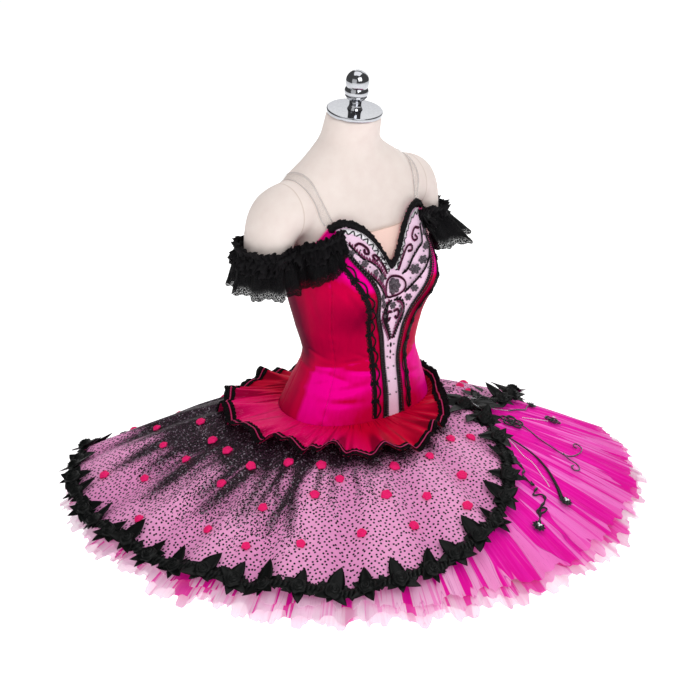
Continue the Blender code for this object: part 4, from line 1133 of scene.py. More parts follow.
def pleated_ring(height, reach, uneven, pleats, deep, seed, count=1200, rows=22):
    """A net ring: its height function, plus two sets of pleats that run out from the hips, and a
    hem that steps in and out from one pleat to the next."""
    start, bearing = hip_ring(count, SKIRT_TOP_Z, NET_CLEAR)
    hip_reach = np.hypot(*start.T)
    share = np.linspace(0, 1, rows)[None, :]**1.15
    blade = folds(bearing + seed, 47, 3.4)
    stepped = 0.4 * folds(bearing + seed, 14, 2.0) + 0.4 * np.clip(6 * blade, -1, 1)
    hem = reach * (1 + uneven * (stepped + 0.3 * np.clip(3 * folds(bearing - seed, 97, 3.0), -1, 1)))
    out = hip_reach[:, None] * (1 - share) + hem[:, None] * share
    turn = bearing[:, None] + 0.010 * np.sin(9 * bearing + seed)[:, None] * share
    fine = 0.6 * folds(turn, pleats, 3.0) + 0.4 * folds(turn + seed, int(1.7 * pleats), 5.0)
    top = height(turn, out) + deep * np.sin(math.pi * np.clip(share * 1.15, 0, 1) * 0.62) * fine
    return polar(turn, out, top), 0 * bearing[:, None] + share, fine


def tulle(name, deep, strong, middle, pale, alpha_hem):
    """Nylon tulle: blades of doubled net 20 to 90 mm wide run out from the hips beside paler single net, with
    a painted shadow line along the edge of each blade and along fine creases, and painted shade in the
    pleats' valleys. It turns paler toward the wearer's right, and glows faintly in its middle tone, painted
    light in place of light through the net."""
    # A faint glow in the middle tone: painted light in place of light passing through the net.
    made, tree, shader, coords = finish_of(name, Roughness=0.6, Specular_IOR_Level=0.08,
                                           Emission_Color=middle,
                                           Emission_Strength=0.09)
    out, crest = (node(tree, "Attribute", attribute_name=field).outputs["Fac"] for field in ("out", "crest"))
    blades, lesser, threads = (
        node(tree, "TexNoise", node(tree, "Mapping", coords["UV"], Scale=(scale, along, 1.0)), Detail=detail)
        for scale, along, detail in ((11.0, 0.8, 1.0), (29.0, 1.2, 0.6), (105.0, 2.0, 1.5)))
    side_on = node(tree, "SeparateXYZ", coords["Object"])
    # Paler toward the wearer's right.
    paler_to_right = node(tree, "MapRange", side_on, -0.33, 0.02, 1.0, 0.0)
    near_hips = node(tree, "Math", node(tree, "MapRange", out, 0.40, 0.80, 0.12, 0.0),
                     node(tree, "Math", paler_to_right, 0.11, operation="MULTIPLY"), operation="SUBTRACT")
    doubled = node(tree, "MapRange", node(tree, "Math", blades, near_hips, operation="ADD"), 0.490, 0.505)
    again = node(tree, "MapRange", node(tree, "Math", lesser, near_hips, operation="ADD"), 0.515, 0.530)
    # Painted shade: more of the strong tone in the pleats' valleys, less of it toward the wearer's right.
    lean = node(tree, "Math", node(tree, "MapRange", crest, -1.0, 0.6, 0.30, 0.0),
                node(tree, "MapRange", side_on, -0.33, -0.05, 0.15, 1.0), operation="MULTIPLY")
    # Painted shadow: a dark line where the noise of the blades or of the threads passes one value, fainter
    # toward the wearer's right.
    blade_edge_shadow, crease = (
        node(tree, "MapRange", node(tree, "Math", node(tree, "Math", wave, level, operation="SUBTRACT"),
                                    operation="ABSOLUTE"), near, far, dark, 0.0)
        for wave, level, near, far, dark in ((blades, 0.500, 0.002, 0.008, 0.60),
                                             (threads, 0.44, 0.003, 0.010, 0.40)))
    painted_shadow_lines = node(tree, "Math", node(tree, "Math", blade_edge_shadow, crease, operation="MAXIMUM"),
                 node(tree, "MapRange", side_on, -0.33, -0.10, 0.45, 1.0), operation="MULTIPLY")
    base = pale
    for share, tone in ((node(tree, "Math", paler_to_right, 0.95, operation="MULTIPLY"), "#F8E4F1"),
                        (doubled, strong),
                        (node(tree, "Math", again, 0.50, operation="MULTIPLY"), middle),
                        (node(tree, "MapRange", threads, 0.58, 0.70, 0.0, 0.25), pale), (lean, strong),
                        (painted_shadow_lines, deep)):
        base = node(tree, "Mix", share, base, tone, data_type="RGBA")
    thin = node(tree, "MapRange", out, 0.66, 1.0, 1.0, alpha_hem)
    mesh_grain = node(tree, "TexVoronoi", coords["Object"], voronoi_dimensions="2D", Scale=3500.0)
    settle(shader, Base_Color=base, Normal=node(tree, "Bump", Strength=0.2, Distance=0.0005,
                                                Height=mesh_grain),
           Alpha=node(tree, "Math", thin, node(tree, "Math", doubled, 0.12, operation="MULTIPLY"),
                      operation="ADD"))
    return made


# The colours of each net: its painted shadow lines, its strong, middle and pale tones, then its alpha at the
# hem.
NETS = (
    ("tulle_magenta", "net_upper", "magenta_net", (3.40, 0.410), 0.98, upper_net,
     (0.530, 0.016, 61, 0.0028, 0.3), ("#B0008A", "#E8009E", "#F222B6", "#FA82D8", 0.62)),
    ("tulle_soft_pink", "net_lower", "pale_net", (3.46, 0.425), 1.03, lower_net,
     (0.541, 0.018, 53, 0.0034, 1.1), ("#C41490", "#EC18A8", "#F660CA", "#FAB2E2", 0.50)),
    ("tulle_palest", "net_lower", "pale_net", (3.50, 0.435), 1.07, lowest_net,
     (0.549, 0.022, 44, 0.0042, 2.3), ("#C884AE", "#E7A9CD", "#EBC9DD", "#F1E6EC", 0.42)))
NET_WALL = 0.0006
for name, cad, slot, flat, area, height, cut, colours in NETS:
    points, share, fine = pleated_ring(height, *cut)
    count, rows = share.shape
    uv = np.stack([np.tile(np.linspace(0, 3.4, count)[:, None], (1, rows)), 0.41 * share], -1)
    made = cloth_piece(name, wall_of(points, points - NET_WALL * UP, uv, True),
                       tulle(f"{name}_nylon", *colours),
                       slot, out=share, crest=fine)
    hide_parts(cad)


# ---- the hip band -----------------------------------------------------------
# A plain band of the crimson satin under the nets, which are sewn to it.

angle = np.linspace(-math.pi, math.pi, 160, endpoint=False)[:, None]
height = np.linspace(0.262, SKIRT_TOP_Z, 9)[None, :] + 0 * angle
uv = np.stack([angle * 0.14 + 0 * height, height], -1)
over, under = (body(angle + 0 * height, height, lift + 0 * height) for lift in (-0.0012, -0.0025))
band = cloth_piece("hip_band_satin", wall_of(over, under, uv, True), satin, "satin")
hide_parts("basque")


# ---- the overlay ------------------------------------------------------------
# Flocked organza over the nets, pale pink with black dots, thick with black
# glitter near the peplum and down the folds. It opens over the left front.

OPENING = table(
    "reach near far",
    (0.130, -45.3, -44.7), (0.222, -46.0, -44.0), (0.250, -54.5, -37.5), (0.300, -67.0, -28.0),
    (0.355, -80.0, -13.0), (0.400, -90.0, -2.0), (0.440, -100.5, 9.0), (0.470, -110.0, 19.0),
    (0.495, -119.5, 28.0), (0.512, -126.0, 34.0))
OVERLAY_HEM = table(
    "bearing reach",
    (-180, 0.526), (-165, 0.520), (-150, 0.518), (-135, 0.516), (-126, 0.512), (34, 0.512), (60, 0.520),
    (100, 0.528), (150, 0.532), (180, 0.526))
PEPLUM_HEM = table(
    "bearing reach height",
    (-180, 0.255, 0.331), (-149, 0.248, 0.331), (-132, 0.252, 0.331), (-113, 0.260, 0.331),
    (-97, 0.240, 0.333),
    (-71, 0.198, 0.338), (-41, 0.166, 0.342), (-5, 0.176, 0.346), (50, 0.188, 0.330), (90, 0.212, 0.316),
    (122, 0.246, 0.311), (150, 0.253, 0.321), (180, 0.255, 0.331))
# Where the glitter is thick from the hips out: bearing and the reach where it thins.
SOLID = table(
    "bearing end",
    (-180, 0.305), (-165, 0.286), (-150, 0.268), (-130, 0.262), (-110, 0.245), (-90, 0.220), (-60, 0.18),
    (0, 0.18),
    (40, 0.27), (80, 0.34), (110, 0.405), (124, 0.425), (134, 0.412), (148, 0.362), (162, 0.330),
    (180, 0.305))
# Streaks of glitter: bearing, the reach where they end, half width in degrees, density, and how
# many degrees of bearing the front ones lean for each metre of reach.
STREAKS = table(
    "bearing end wide dark lean",
    (-169, 0.430, 2.2, 0.92, 0), (-160, 0.350, 1.3, 0.60, 0), (-156, 0.390, 1.4, 0.75, 0),
    (-150.2, 0.430, 1.5, 0.95, 0), (-146, 0.360, 1.0, 0.55, 0), (-141.6, 0.365, 1.5, 0.80, 0),
    (-136, 0.315, 1.2, 0.50, 0), (-128.8, 0.365, 1.5, 0.70, 0), (-119, 0.320, 1.4, 0.55, 0),
    (-111, 0.312, 1.3, 0.50, 0), (-100, 0.285, 1.3, 0.4, 0), (-177, 0.400, 2.0, 0.85, 0),
    (176, 0.380, 1.6, 0.75, 0), (172, 0.470, 2.6, 0.92, 0), (166, 0.410, 1.6, 0.7, 0),
    (160, 0.430, 2.2, 0.85, 0),
    (153, 0.490, 2.6, 0.92, 0), (146, 0.450, 1.8, 0.75, 0), (139, 0.500, 2.6, 0.9, 0),
    (131, 0.470, 2.4, 0.85, 0),
    (120, 0.470, 3.2, 0.9, 0), (106, 0.450, 3.2, 0.85, 0), (90, 0.420, 3.0, 0.75, 0),
    (74, 0.420, 2.6, 0.7, 0),
    (58, 0.380, 2.6, 0.6, 0), (42, 0.350, 2.4, 0.5, 0), (26, 0.340, 2.4, 0.4, 0), (10, 0.310, 2.2, 0.35, 0),
    (-6, 0.300, 2.0, 0.25, 0), (-155.1, 0.39, 1.5, 0.62, 76), (-149.5, 0.451, 1.9, 0.72, 51),
    (-137.6, 0.392, 2.2, 0.5, 29), (-127.5, 0.362, 1.7, 0.55, 7), (-117.1, 0.376, 1.4, 0.36, -5),
    (-164.3, 0.427, 1.5, 0.5, 29))


def wrapped(bearing):
    """A bearing in degrees between -180 and 180."""
    return (np.degrees(bearing) + 180) % 360 - 180


def opening(reach):
    """Bearings in degrees of the opening's two edges at a reach."""
    return (np.interp(reach, OPENING["reach"], OPENING[edge]) for edge in ("near", "far"))


def overlay_top(bearing, reach):
    """Upper side of the organza: afloat on the net, in wide folds, lesser ones between, and
    gathers at the hips."""
    lift = np.interp(reach, (HIP_RADIUS, 0.34), (OVERLAY_HIP_LIFT, 0.0112))
    wide = 0.0060 * spread(reach) * folds(bearing, 17, 1.1)
    lesser = 0.0032 * spread(reach)**0.5 * folds(bearing + 0.2, 37, 2.2)
    gathers = 0.0014 * np.exp(-((reach - 0.15) / 0.12)**2) * folds(bearing, 88, 4.0)
    return cone(bearing, reach) + lift + CLOTH + wide + lesser + gathers


def overlay_plan(across=640, out=56):
    """Plan places of the organza, from the opening's far edge round to its near edge."""
    share = np.linspace(0, 1, across)[:, None]
    rise = np.linspace(0, 1, out)[None, :]
    start = 0.150
    bearing = np.radians(-44 + 358 * share + 0 * rise)
    for _ in range(12):
        limit = np.interp(wrapped(bearing), *OVERLAY_HEM.values())
        reach = start + (limit - start) * rise**0.9
        near, far = opening(reach)
        bearing = np.radians(far + (near + 360 - far) * share)
    hips = body(bearing[:, 0], np.full(across, SKIRT_TOP_Z), np.full(across, BODICE_CLEAR))
    reach[:, 0] = np.hypot(hips[:, 0], hips[:, 1])
    bearing[:, 0] = np.unwrap(np.arctan2(hips[:, 1], hips[:, 0]))
    return bearing, reach


organza, tree, shader, coords = finish_of("organza_flocked_pink", Roughness=0.5, Specular_IOR_Level=0.25)
glitter_here, valley = (node(tree, "Attribute", attribute_name=field).outputs["Fac"]
                        for field in ("glitter", "valley"))
cloud = node(tree, "TexNoise", coords["Object"], Scale=110.0, Detail=3.0)
# The pink deepens in the folds' valleys, painted shade together with the magenta net showing through, and
# with a cloudy noise of tone.
depth = node(tree, "Math", node(tree, "Math", valley, 0.35, operation="MULTIPLY"),
             node(tree, "Math", cloud, 0.65, operation="MULTIPLY"), operation="ADD")
pink = node(tree, "Mix", node(tree, "MapRange", depth, 0.25, 1.0), "#F2A4D4", "#D87CB8", data_type="RGBA")
flat_place = node(tree, "Mapping", coords["Object"], Scale=(1.0, 1.0, 0.0))
# Flocked dots nearly 4 mm across, about 8 mm apart.
spots = node(tree, "TexVoronoi", flat_place, voronoi_dimensions="2D", Scale=126.0, Randomness=0.62)
# Glitter in grains of 1.8 mm, a little over true size so that it shows; a few glint.
grains = node(tree, "TexVoronoi", flat_place, voronoi_dimensions="2D", Scale=400.0)
chance = node(tree, "SeparateColor", grains.outputs["Color"]).outputs
grain = node(tree, "Math", node(tree, "Math", grains, 0.52, operation="LESS_THAN"),
             node(tree, "Math", chance["Red"], glitter_here, operation="LESS_THAN"), operation="MULTIPLY")
dot = node(tree, "Math", node(tree, "MapRange", spots, 0.220, 0.260, 1.0, 0.0), grain, operation="MAXIMUM")
greyed = node(tree, "Mix", node(tree, "MapRange", glitter_here, 0.20, 0.90, 0.0, 0.92), pink, "#2C202B",
              data_type="RGBA")
glints = node(tree, "Math", node(tree, "Math", chance["Green"], 0.90, operation="GREATER_THAN"), grain,
              operation="MULTIPLY")
black = node(tree, "Mix", glints, "#0D060B", "#8E8590", data_type="RGBA")
weave = node(tree, "TexNoise", coords["Object"], Scale=3000.0, Detail=2.0)
settle(shader, Base_Color=node(tree, "Mix", dot, greyed, black, data_type="RGBA"),
       Normal=node(tree, "Bump", Strength=0.3, Distance=0.0006,
                   Height=node(tree, "Math", weave, dot, operation="ADD")))

bearing, reach = overlay_plan()
points = polar(bearing, reach, overlay_top(bearing, reach))
peplum_reach = smooth(wrapped(bearing), PEPLUM_HEM["bearing"], PEPLUM_HEM["reach"])
# Thick at the peplum's edge and over the right back, then in streaks down the folds.
near_peplum = np.clip(1 - (reach - peplum_reach) / 0.032, 0, 1)
front_clear = np.clip((np.abs(wrapped(bearing + math.radians(72))) - 30) / 55, 0.12, 1)
solid_to = np.interp(wrapped(bearing), SOLID["bearing"], SOLID["end"]) + 0.012 * folds(bearing, 23, 2.0)
away_side = 0.97 * np.clip((solid_to - reach) / 0.055 + 0.5, 0, 1)
streaks = 0 * reach
for at, end, wide, dark, lean in zip(*STREAKS.values()):
    aside = wrapped(bearing - np.radians(at + lean * (reach - 0.30)) - 0.04 * np.sin(9 * reach + at))
    streaks = np.maximum(streaks, dark * np.exp(-(aside / wide)**2)
                         * np.clip((end - reach) / 0.11, 0, 1)**0.7)
# A thin scatter of it lies between the streaks at the side and back.
behind = np.clip((np.abs(wrapped(bearing + math.radians(50))) - 92) / 14, 0, 1)
scatter = 0.32 * behind * np.clip((0.47 - reach) / 0.08, 0, 1)
glitter = np.clip(scatter + np.maximum(0.92 * near_peplum * front_clear, np.maximum(streaks, away_side)), 0,
                  0.97)
shade_fold = np.clip(0.5 - 0.5 * folds(bearing, 17, 1.1), 0, 1)
uv = np.stack([bearing * 0.4, reach], -1)
overlay = cloth_piece("organza_overlay", wall_of(points, points - 0.0008 * UP, uv), organza,
                      "spotted_organza",
                      glitter=glitter, valley=shade_fold)
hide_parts("skirt_overlay")


# ---- the peplum -------------------------------------------------------------
# A short frill of the crimson satin, gathered into the hip seam: waves at its
# hem, fine creases running out of the seam, and a double black lace border
# with a line of pink piping between.

PEPLUM_WAVES = 15


def peplum_top(count, share):
    """Frill from the seam to its hem: wide waves that grow outward, lesser ones, and creases that
    die away."""
    start, bearing = hip_ring(count, HIP_SEAM_Z, SATIN_OUT + 2 * SEAM_GAP)
    hem_reach, hem_z = (smooth(np.degrees(bearing), PEPLUM_HEM["bearing"], PEPLUM_HEM[column])
                        for column in ("reach", "height"))
    hip_reach = np.hypot(*start.T)
    bearing, hem_z = bearing[:, None], hem_z[:, None]
    length = (hem_reach - hip_reach)[:, None]
    reach = hip_reach[:, None] + length * share
    size = np.minimum(0.0092, 0.095 * length)
    turn = PEPLUM_WAVES * bearing + 0.9 * np.sin(2 * bearing)
    wave = size * share**1.3 * (np.sin(turn) - 0.18 * np.cos(2 * turn))
    reach = reach + 0.5 * size * share**1.5 * np.cos(turn + 0.6)
    lesser = 0.62 * size * share**1.6 * folds(bearing, 33, 1.8) + 0.16 * size * share**0.8 * folds(bearing,
                                                                                                   57, 2.4)
    creases = 0.0011 * np.clip(share / 0.05, 0, 1) * np.exp(-(share / 0.75)**2) * folds(bearing, 53, 5.0)
    seam_z = HIP_SEAM_Z + SEAM_GAP
    height = seam_z + (hem_z + 0.004 - seam_z) * share + CLOTH + wave + lesser + creases
    height = np.maximum(height, overlay_top(bearing, reach) + 0.0020 + 0.0015 * (1 + np.sin(turn)) * share)
    return polar(bearing, reach, height), bearing + 0 * share, length


frill_satin, tree, shader, coords = finish_of("satin_gathered_crimson", Roughness=0.48,
                                              Specular_IOR_Level=0.07,
                                              Specular_Tint="#FF6FB0")
rays = node(tree, "TexNoise", node(tree, "Mapping", coords["UV"], Scale=(78.0, 5.0, 1.0)), Detail=1.0)
side_on = node(tree, "SeparateXYZ", coords["Object"])
# Painted light: the frill turns lighter where it faces up, in magenta tones toward the wearer's right and
# crimson ones elsewhere.
crest = node(tree, "MapRange", node(tree, "SeparateXYZ", coords["Normal"]).outputs["Z"], 0.80, 0.985)
cool, warm = (node(tree, "Mix", crest, *tones, data_type="RGBA")
              for tones in (("#A80044", "#F0006C"), ("#900022", "#D40034")))
frill_colour = node(tree, "Mix", node(tree, "MapRange", side_on, -0.17, -0.09), cool, warm, data_type="RGBA")
# Painted highlight: fine pale lines where creases would catch the light, more of them toward the wearer's
# right.
off_line = node(tree, "Math", node(tree, "Math", rays, 0.56, operation="SUBTRACT"), operation="ABSOLUTE")
painted_crease_lines = node(tree, "Math", node(tree, "MapRange", off_line, 0.006, 0.022, 1.0, 0.0),
              node(tree, "MapRange", side_on, -0.19, -0.12, 0.28, 0.02), operation="MULTIPLY")
settle(shader, Base_Color=node(tree, "Mix", painted_crease_lines, frill_colour, "#FF7CB6", data_type="RGBA"))
share = np.linspace(0, 1, 34)[None, :]
points, bearing, length = peplum_top(900, share)
uv = np.stack([bearing * 0.24, length * share], -1)
peplum = cloth_piece("peplum_satin", wall_of(points, points - 0.0010 * UP, uv, True), frill_satin, "satin")
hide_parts("peplum")

# Lace bands on the frill: where each begins and ends in metres from the hem, and its cut.
COUNT = 1800
BANDS = (("outer", -0.0014, 0.0085, 0.013), ("inner", 0.0125, 0.0185, 0.010))
_, _, length = peplum_top(COUNT, np.array([[1.0]]))
narrow = np.minimum(1.0, 0.55 * length / 0.0185)
at = np.linspace(0, 2 * math.pi, COUNT, endpoint=False)[:, None]
scallop = 0.0024 * np.abs(np.sin(84 * at + 0.8 * np.sin(11 * at)))
across = np.linspace(0.0, 1.0, 6)[None, :]
for word, low, high, cut in BANDS:
    rim = (low - scallop) * (1 - across) + high * across if word == "outer" \
        else low * (1 - across) + (high + scallop) * across
    points, bearing, _ = peplum_top(COUNT, 1 - rim * narrow / length)
    ripple = 0.0013 * np.sin(176 * at + 2.1 * np.sin(13 * at)) * np.sin(math.pi * (0.15 + 0.7 * across))
    points[..., 2] += 0.0016 + ripple
    uv = np.stack([bearing * 0.24, across * cut + 0 * bearing], -1)
    border_open = 0.35 * np.abs(2 * across - 1) + 0 * bearing
    border = cloth_piece(f"peplum_lace_{word}", wall_of(points, points - 0.0008 * UP, uv, True),
                         lace_open, "black_lace", open=border_open)


piping_crimson = two_tone("satin_piping_crimson", "#B80A50", "#E03C86", 1500.0, Roughness=0.45)
points, _, _ = peplum_top(COUNT, 1 - 0.0105 * narrow / length)
ring, _ = cord_shape(points[:, 0] + 0.0016 * UP, upright(points), 0.0010)
piece("peplum_piping", (ring, tube_faces(COUNT, 6, True)), piping_crimson)


# ---- the ribbon roses -------------------------------------------------------
# Little hot pink roses rolled from satin ribbon and stitched over the organza.

ROSES = table(
    "bearing reach",
    (148.5, 0.290), (154, 0.365), (163.4, 0.418), (167, 0.345), (164, 0.286), (176, 0.286), (-173, 0.350),
    (-166, 0.439), (-155, 0.453), (-156, 0.373), (-170, 0.292), (-157, 0.263), (-144, 0.257), (-143, 0.329),
    (-136, 0.286), (-143, 0.434), (-129, 0.405), (-121, 0.327), (-115, 0.259), (-116, 0.396), (-109, 0.342),
    (-99, 0.256), (-82, 0.233), (-73, 0.252), (-93, 0.312), (-100, 0.384), (177, 0.481), (137, 0.376),
    (-17, 0.225), (-24, 0.232), (78, 0.330), (70, 0.424), (60, 0.288), (48, 0.372), (40, 0.452), (30, 0.330),
    (56, 0.476), (96, 0.500), (112, 0.508), (82, 0.496), (100, 0.335), (110, 0.400), (92, 0.402),
    (106, 0.458),
    (84, 0.440), (122, 0.455), (18, 0.268), (24, 0.418), (2, 0.300), (154, 0.477), (6, 0.370))


def rose_shape(radius, high, turns=2.7, rows=17, around=30):
    """A rolled rose: a dome that steps down along a spiral, like the ribbon's edge, with a
    petalled rim."""
    out = np.linspace(0, 1, rows)[None, :]
    turn = np.linspace(0, 2 * math.pi, around, endpoint=False)[:, None]
    wind = (turns * out - turn / (2 * math.pi)) % 1.0
    rim = radius * out * (1 + 0.09 * out**2 * np.cos(5 * turn + 0.7) + 0.04 * out * np.cos(3 * turn))
    z = high * (0.30 + 0.62 * (1 - out**2)**0.6) + high * 0.34 * out**0.4 * (wind**1.6 - 0.45)
    z = np.where(out > 0.999, high * 0.12, z)
    top = polar(turn, rim, z)
    back = top[:, -1:] * np.array([0.8, 0.8, 0.0])
    grid = np.concatenate([top, back, 0 * back], 1)
    return grid.reshape(-1, 3), quads(around, rows + 2, True)


def on_skirt(height, bearing, reach, lift):
    """Places on a skirt surface, and its upward normals by small steps."""
    x, y = reach * np.cos(bearing), reach * np.sin(bearing)
    step = 0.004

    def at(x, y):
        """Height of the surface over a plan place."""
        return height(np.arctan2(y, x), np.hypot(x, y))

    normal = unit(np.stack([(at(x - step, y) - at(x + step, y)) / (2 * step),
                            (at(x, y - step) - at(x, y + step)) / (2 * step), 1 + 0 * x], -1))
    return np.stack([x, y, at(x, y)], -1) + normal * lift, normal


def turned(normal, turn):
    """Unit vectors across a normal, turned by an angle from the one that lies level in X."""
    east = unit(np.cross(np.array([0.0, 1.0, 0.0]), normal))
    return east * np.cos(turn)[:, None] + np.cross(normal, east) * np.sin(turn)[:, None]


ribbon_pink = two_tone("ribbon_satin_hot_pink", "#E80054", "#FF2C8A", 800.0, Roughness=0.45,
                       Specular_IOR_Level=0.12)
places, normal = on_skirt(overlay_top, np.radians(ROSES["bearing"]), ROSES["reach"], 0.0006)
order = np.arange(len(places))
piece("ribbon_roses", scattered(rose_shape(0.0088, 0.0078), places, turned(normal, 2.4 * order), normal,
                                1 + 0.10 * np.sin(5.3 * order)), ribbon_pink, sewn=True)


# ---- the garland ------------------------------------------------------------
# Black satin ribbon roses with pointed ribbon leaves, wired on a twisted
# cord with small magenta beads, stitched round the edge of the organza.

ribbon_black = two_tone("ribbon_satin_black", "#030404", "#101312", 700.0, 2.0, 0.3, 0.8, Roughness=0.42,
                        Specular_IOR_Level=0.22)
bead_magenta = two_tone("glass_beads_magenta", "#C4006E", "#FF4FB4", 2500.0, 1.0, Roughness=0.15)
PERIOD = 0.058


def garland_line(step):
    """Plan points round the organza's edge at an even spacing, and the ways inward."""
    reach = np.linspace(0.225, OPENING["reach"][-1], 40)
    near, far = opening(reach)
    hem = np.linspace(far[-1], near[-1] + 359, 120)
    hem_reach = np.interp(wrapped(np.radians(hem)), *OVERLAY_HEM.values())
    bearing = np.radians(np.concatenate([far, hem, near[::-1]]))
    out = np.concatenate([reach, hem_reach, reach[::-1]])
    even = evenly(polar(bearing, out), step)
    for _ in range(max(int(3 * (0.019 / step)**2), 3)):
        even[1:-1] = (even[:-2] + 2 * even[1:-1] + even[2:]) / 4
    return even, np.cross(UP, unit(np.gradient(even, axis=0)))


def on_garland(plan, lift):
    """Plan points set on the organza, past its edge too."""
    return on_skirt(overlay_top, np.arctan2(plan[:, 1], plan[:, 0]), np.hypot(plan[:, 0], plan[:, 1]), lift)


line, inward = garland_line(0.002)
pick = np.arange(14, len(line) - 8, int(PERIOD / 0.002))
places, normal = on_garland(line[pick], 0.0015)
order = np.arange(len(pick))
roses = scattered(rose_shape(0.0150, 0.0150, 3.2), places, turned(normal, 1.9 * order), normal,
                  1 + 0.10 * np.sin(4.1 * order))
to_inside = np.arctan2(inward[pick, 1], inward[pick, 0])
# Leaves of a rose: the way each points in degrees from straight inward, its size and its curl.
LEAVES = table(
    "turn long wide curl",
    (-8, 0.044, 0.027, 0.16), (66, 0.030, 0.021, 0.10), (-74, 0.029, 0.021, 0.06), (122, 0.036, 0.021, 0.20),
    (-128, 0.034, 0.020, 0.16), (176, 0.031, 0.019, 0.10))


def across_normal(ways, normal):
    """Ways laid square to a normal, as unit vectors."""
    return unit(ways - normal * (ways * normal).sum(1, keepdims=True))


leaves = []
for k, (turn, long, wide, curl) in enumerate(zip(*LEAVES.values())):
    swing = to_inside + np.radians(turn + 13 * np.sin(3.3 * order + k))
    leaves.append(scattered(leaf_shape(long, wide, curl), places + normal * 0.0012,
                            across_normal(polar(swing), normal), normal,
                            1 + 0.14 * np.sin(2.7 * order + 1.9 * k)))
garland = piece("garland_roses_and_leaves", joined(roses, *leaves), ribbon_black, sewn=True)
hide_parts("hem_garland")
centre, normal = on_garland(line, 0.0030)
tangent, sideways, up = frames_along(centre, normal)
strands = []
for phase in (0, math.pi):
    wind = np.arange(len(line)) * 0.002 / 0.016 * 2 * math.pi + phase
    strand = centre + (sideways * np.cos(wind)[:, None] * 1.4 + up * np.sin(wind)[:, None] * 0.8) * 0.0034
    strands.append(cord_shape(strand, normal, 0.0046, 0.0024))
# Between the roses the ribbon is folded to and fro, so that small points stand out either side.
at = np.arange(3, len(line) - 3, 3)
order = np.arange(len(at))
to_and_fro = np.where(order % 2, 1.0, -1.0)[:, None]
ways = across_normal(inward[at] * to_and_fro + tangent[at] * 0.35 * np.sin(1.3 * order)[:, None], normal[at])
points_out = scattered(leaf_shape(0.0170, 0.0140, 0.10, 5), centre[at] - ways * 0.002, ways, normal[at],
                       1 + 0.24 * np.sin(2.1 * order))
piece("garland_folded_ribbon", joined(*strands, points_out), ribbon_black, sewn=True)
beads = np.arange(4, len(line), 7)
offset = inward[beads] * (0.0062 * np.where(np.arange(len(beads)) % 3, 1, -1))[:, None]
places, normal = on_garland(line[beads] + offset, 0.0026)
piece("garland_beads", scattered(bead_shape(0.0017), places, turned(normal, 0.0 * beads), normal),
      bead_magenta)


# ---- the sprays on the net --------------------------------------------------
# Beaded cords fan out over the net from the point of the opening: one with
# black bead teeth, others in seed beads that curl at their ends or finish in
# padded black flowers, with two corded lace motifs beside them.

# Each way is a row of (bearing in degrees, reach); the first runs under bead teeth.
TOOTHED = ((-45, 0.214), (-51, 0.241), (-56, 0.274), (-60, 0.336), (-62, 0.362), (-65, 0.389), (-69, 0.416),
           (-73, 0.440))
SCROLLED = (((-67, 0.325), (-70, 0.347), (-71, 0.356), (-74, 0.364), (-75, 0.388), (-74, 0.380)),
            ((-75, 0.396), (-78, 0.402), (-76, 0.411), (-77, 0.422), (-81, 0.427), (-82, 0.434), (-79, 0.436),
             (-80, 0.428), (-84, 0.446), (-86, 0.453)))
SILVERED = (((-46, 0.222), (-50, 0.250), (-56, 0.278), (-59, 0.299), (-64, 0.336), (-65, 0.357), (-68, 0.383),
             (-71, 0.407)),
            ((-40, 0.212), (-38, 0.233), (-41, 0.249), (-37, 0.269), (-35, 0.297)),
            ((-37, 0.323), (-35, 0.355), (-34, 0.375)))
CURLED = (((-44, 0.302), (-45, 0.319), (-49, 0.349), (-51, 0.378), (-52, 0.402), (-50, 0.419), (-46, 0.432),
           (-43.4, 0.427), (-43.6, 0.419), (-45.4, 0.416), (-46, 0.422)),
          ((-51.5, 0.398), (-53, 0.409), (-54, 0.427), (-56.5, 0.433), (-58, 0.426), (-57, 0.418),
           (-55.6, 0.421)),
          ((-35, 0.297), (-32, 0.318), (-29, 0.338), (-25, 0.350), (-23, 0.361)))
LACE_FLOWERS = np.array([(-73, 0.446, 1.15), (-86, 0.456, 1.15), (-23, 0.364, 1.0)])
LACE_MOTIFS = np.array([(-45, 0.298, 1.25), (-32, 0.388, 0.9), (-38, 0.243, 0.9), (-58, 0.262, 0.8)])


def over_net(bearing, reach, lift):
    """Places on the magenta net by bearing in degrees and reach; near the point they lie over the leaves."""
    over_leaves = 0.013 * np.clip((0.268 - reach) / 0.024, 0, 1)
    return on_skirt(upper_net, np.radians(bearing), reach, (lift + over_leaves)[:, None])


def net_path(way, lift, step=0.0016):
    """An evenly spaced path on the net through a way's places."""
    polar = curve_through(way, 160)
    return evenly(over_net(polar[:, 0], polar[:, 1], lift)[0], step)


path = net_path(TOOTHED, 0.0034)
stems = [cord_shape(path, upright(path), np.linspace(0.0012, 0.0026, len(path)), 0.0012)]
seed_beads, silver_beads = [], []
teeth = np.arange(0, len(path), 2)
tangent, sideways, _ = frames_along(path, upright(path))
stems.append(scattered(bead_shape(np.array([0.0010, 0.0034, 0.0014])), path[teeth] + 0.0012 * UP,
                       tangent[teeth],
                       upright(teeth), np.interp(teeth, (0, 0.5 * len(path), len(path)), (0.35, 0.60, 1.35)),
                       -sideways[teeth]))
for way in SCROLLED:
    path = net_path(way, 0.0032)
    thick = 0.0022 + 0.0011 * np.sin(np.arange(len(path)) * 0.0016 / 0.021 * 2 * math.pi)
    stems.append(cord_shape(path, upright(path), thick, 0.0014))
for way in CURLED:
    path = net_path(way, 0.0030)
    stems.append(cord_shape(path, upright(path), 0.0010, 0.0009))
    seed_beads.append(beads_along(path + 0.0012 * UP, upright, 0.0012, 0.0034))
for way in SILVERED:
    silver_beads.append(beads_along(net_path(way, 0.0034), upright, 0.0011, 0.0034))

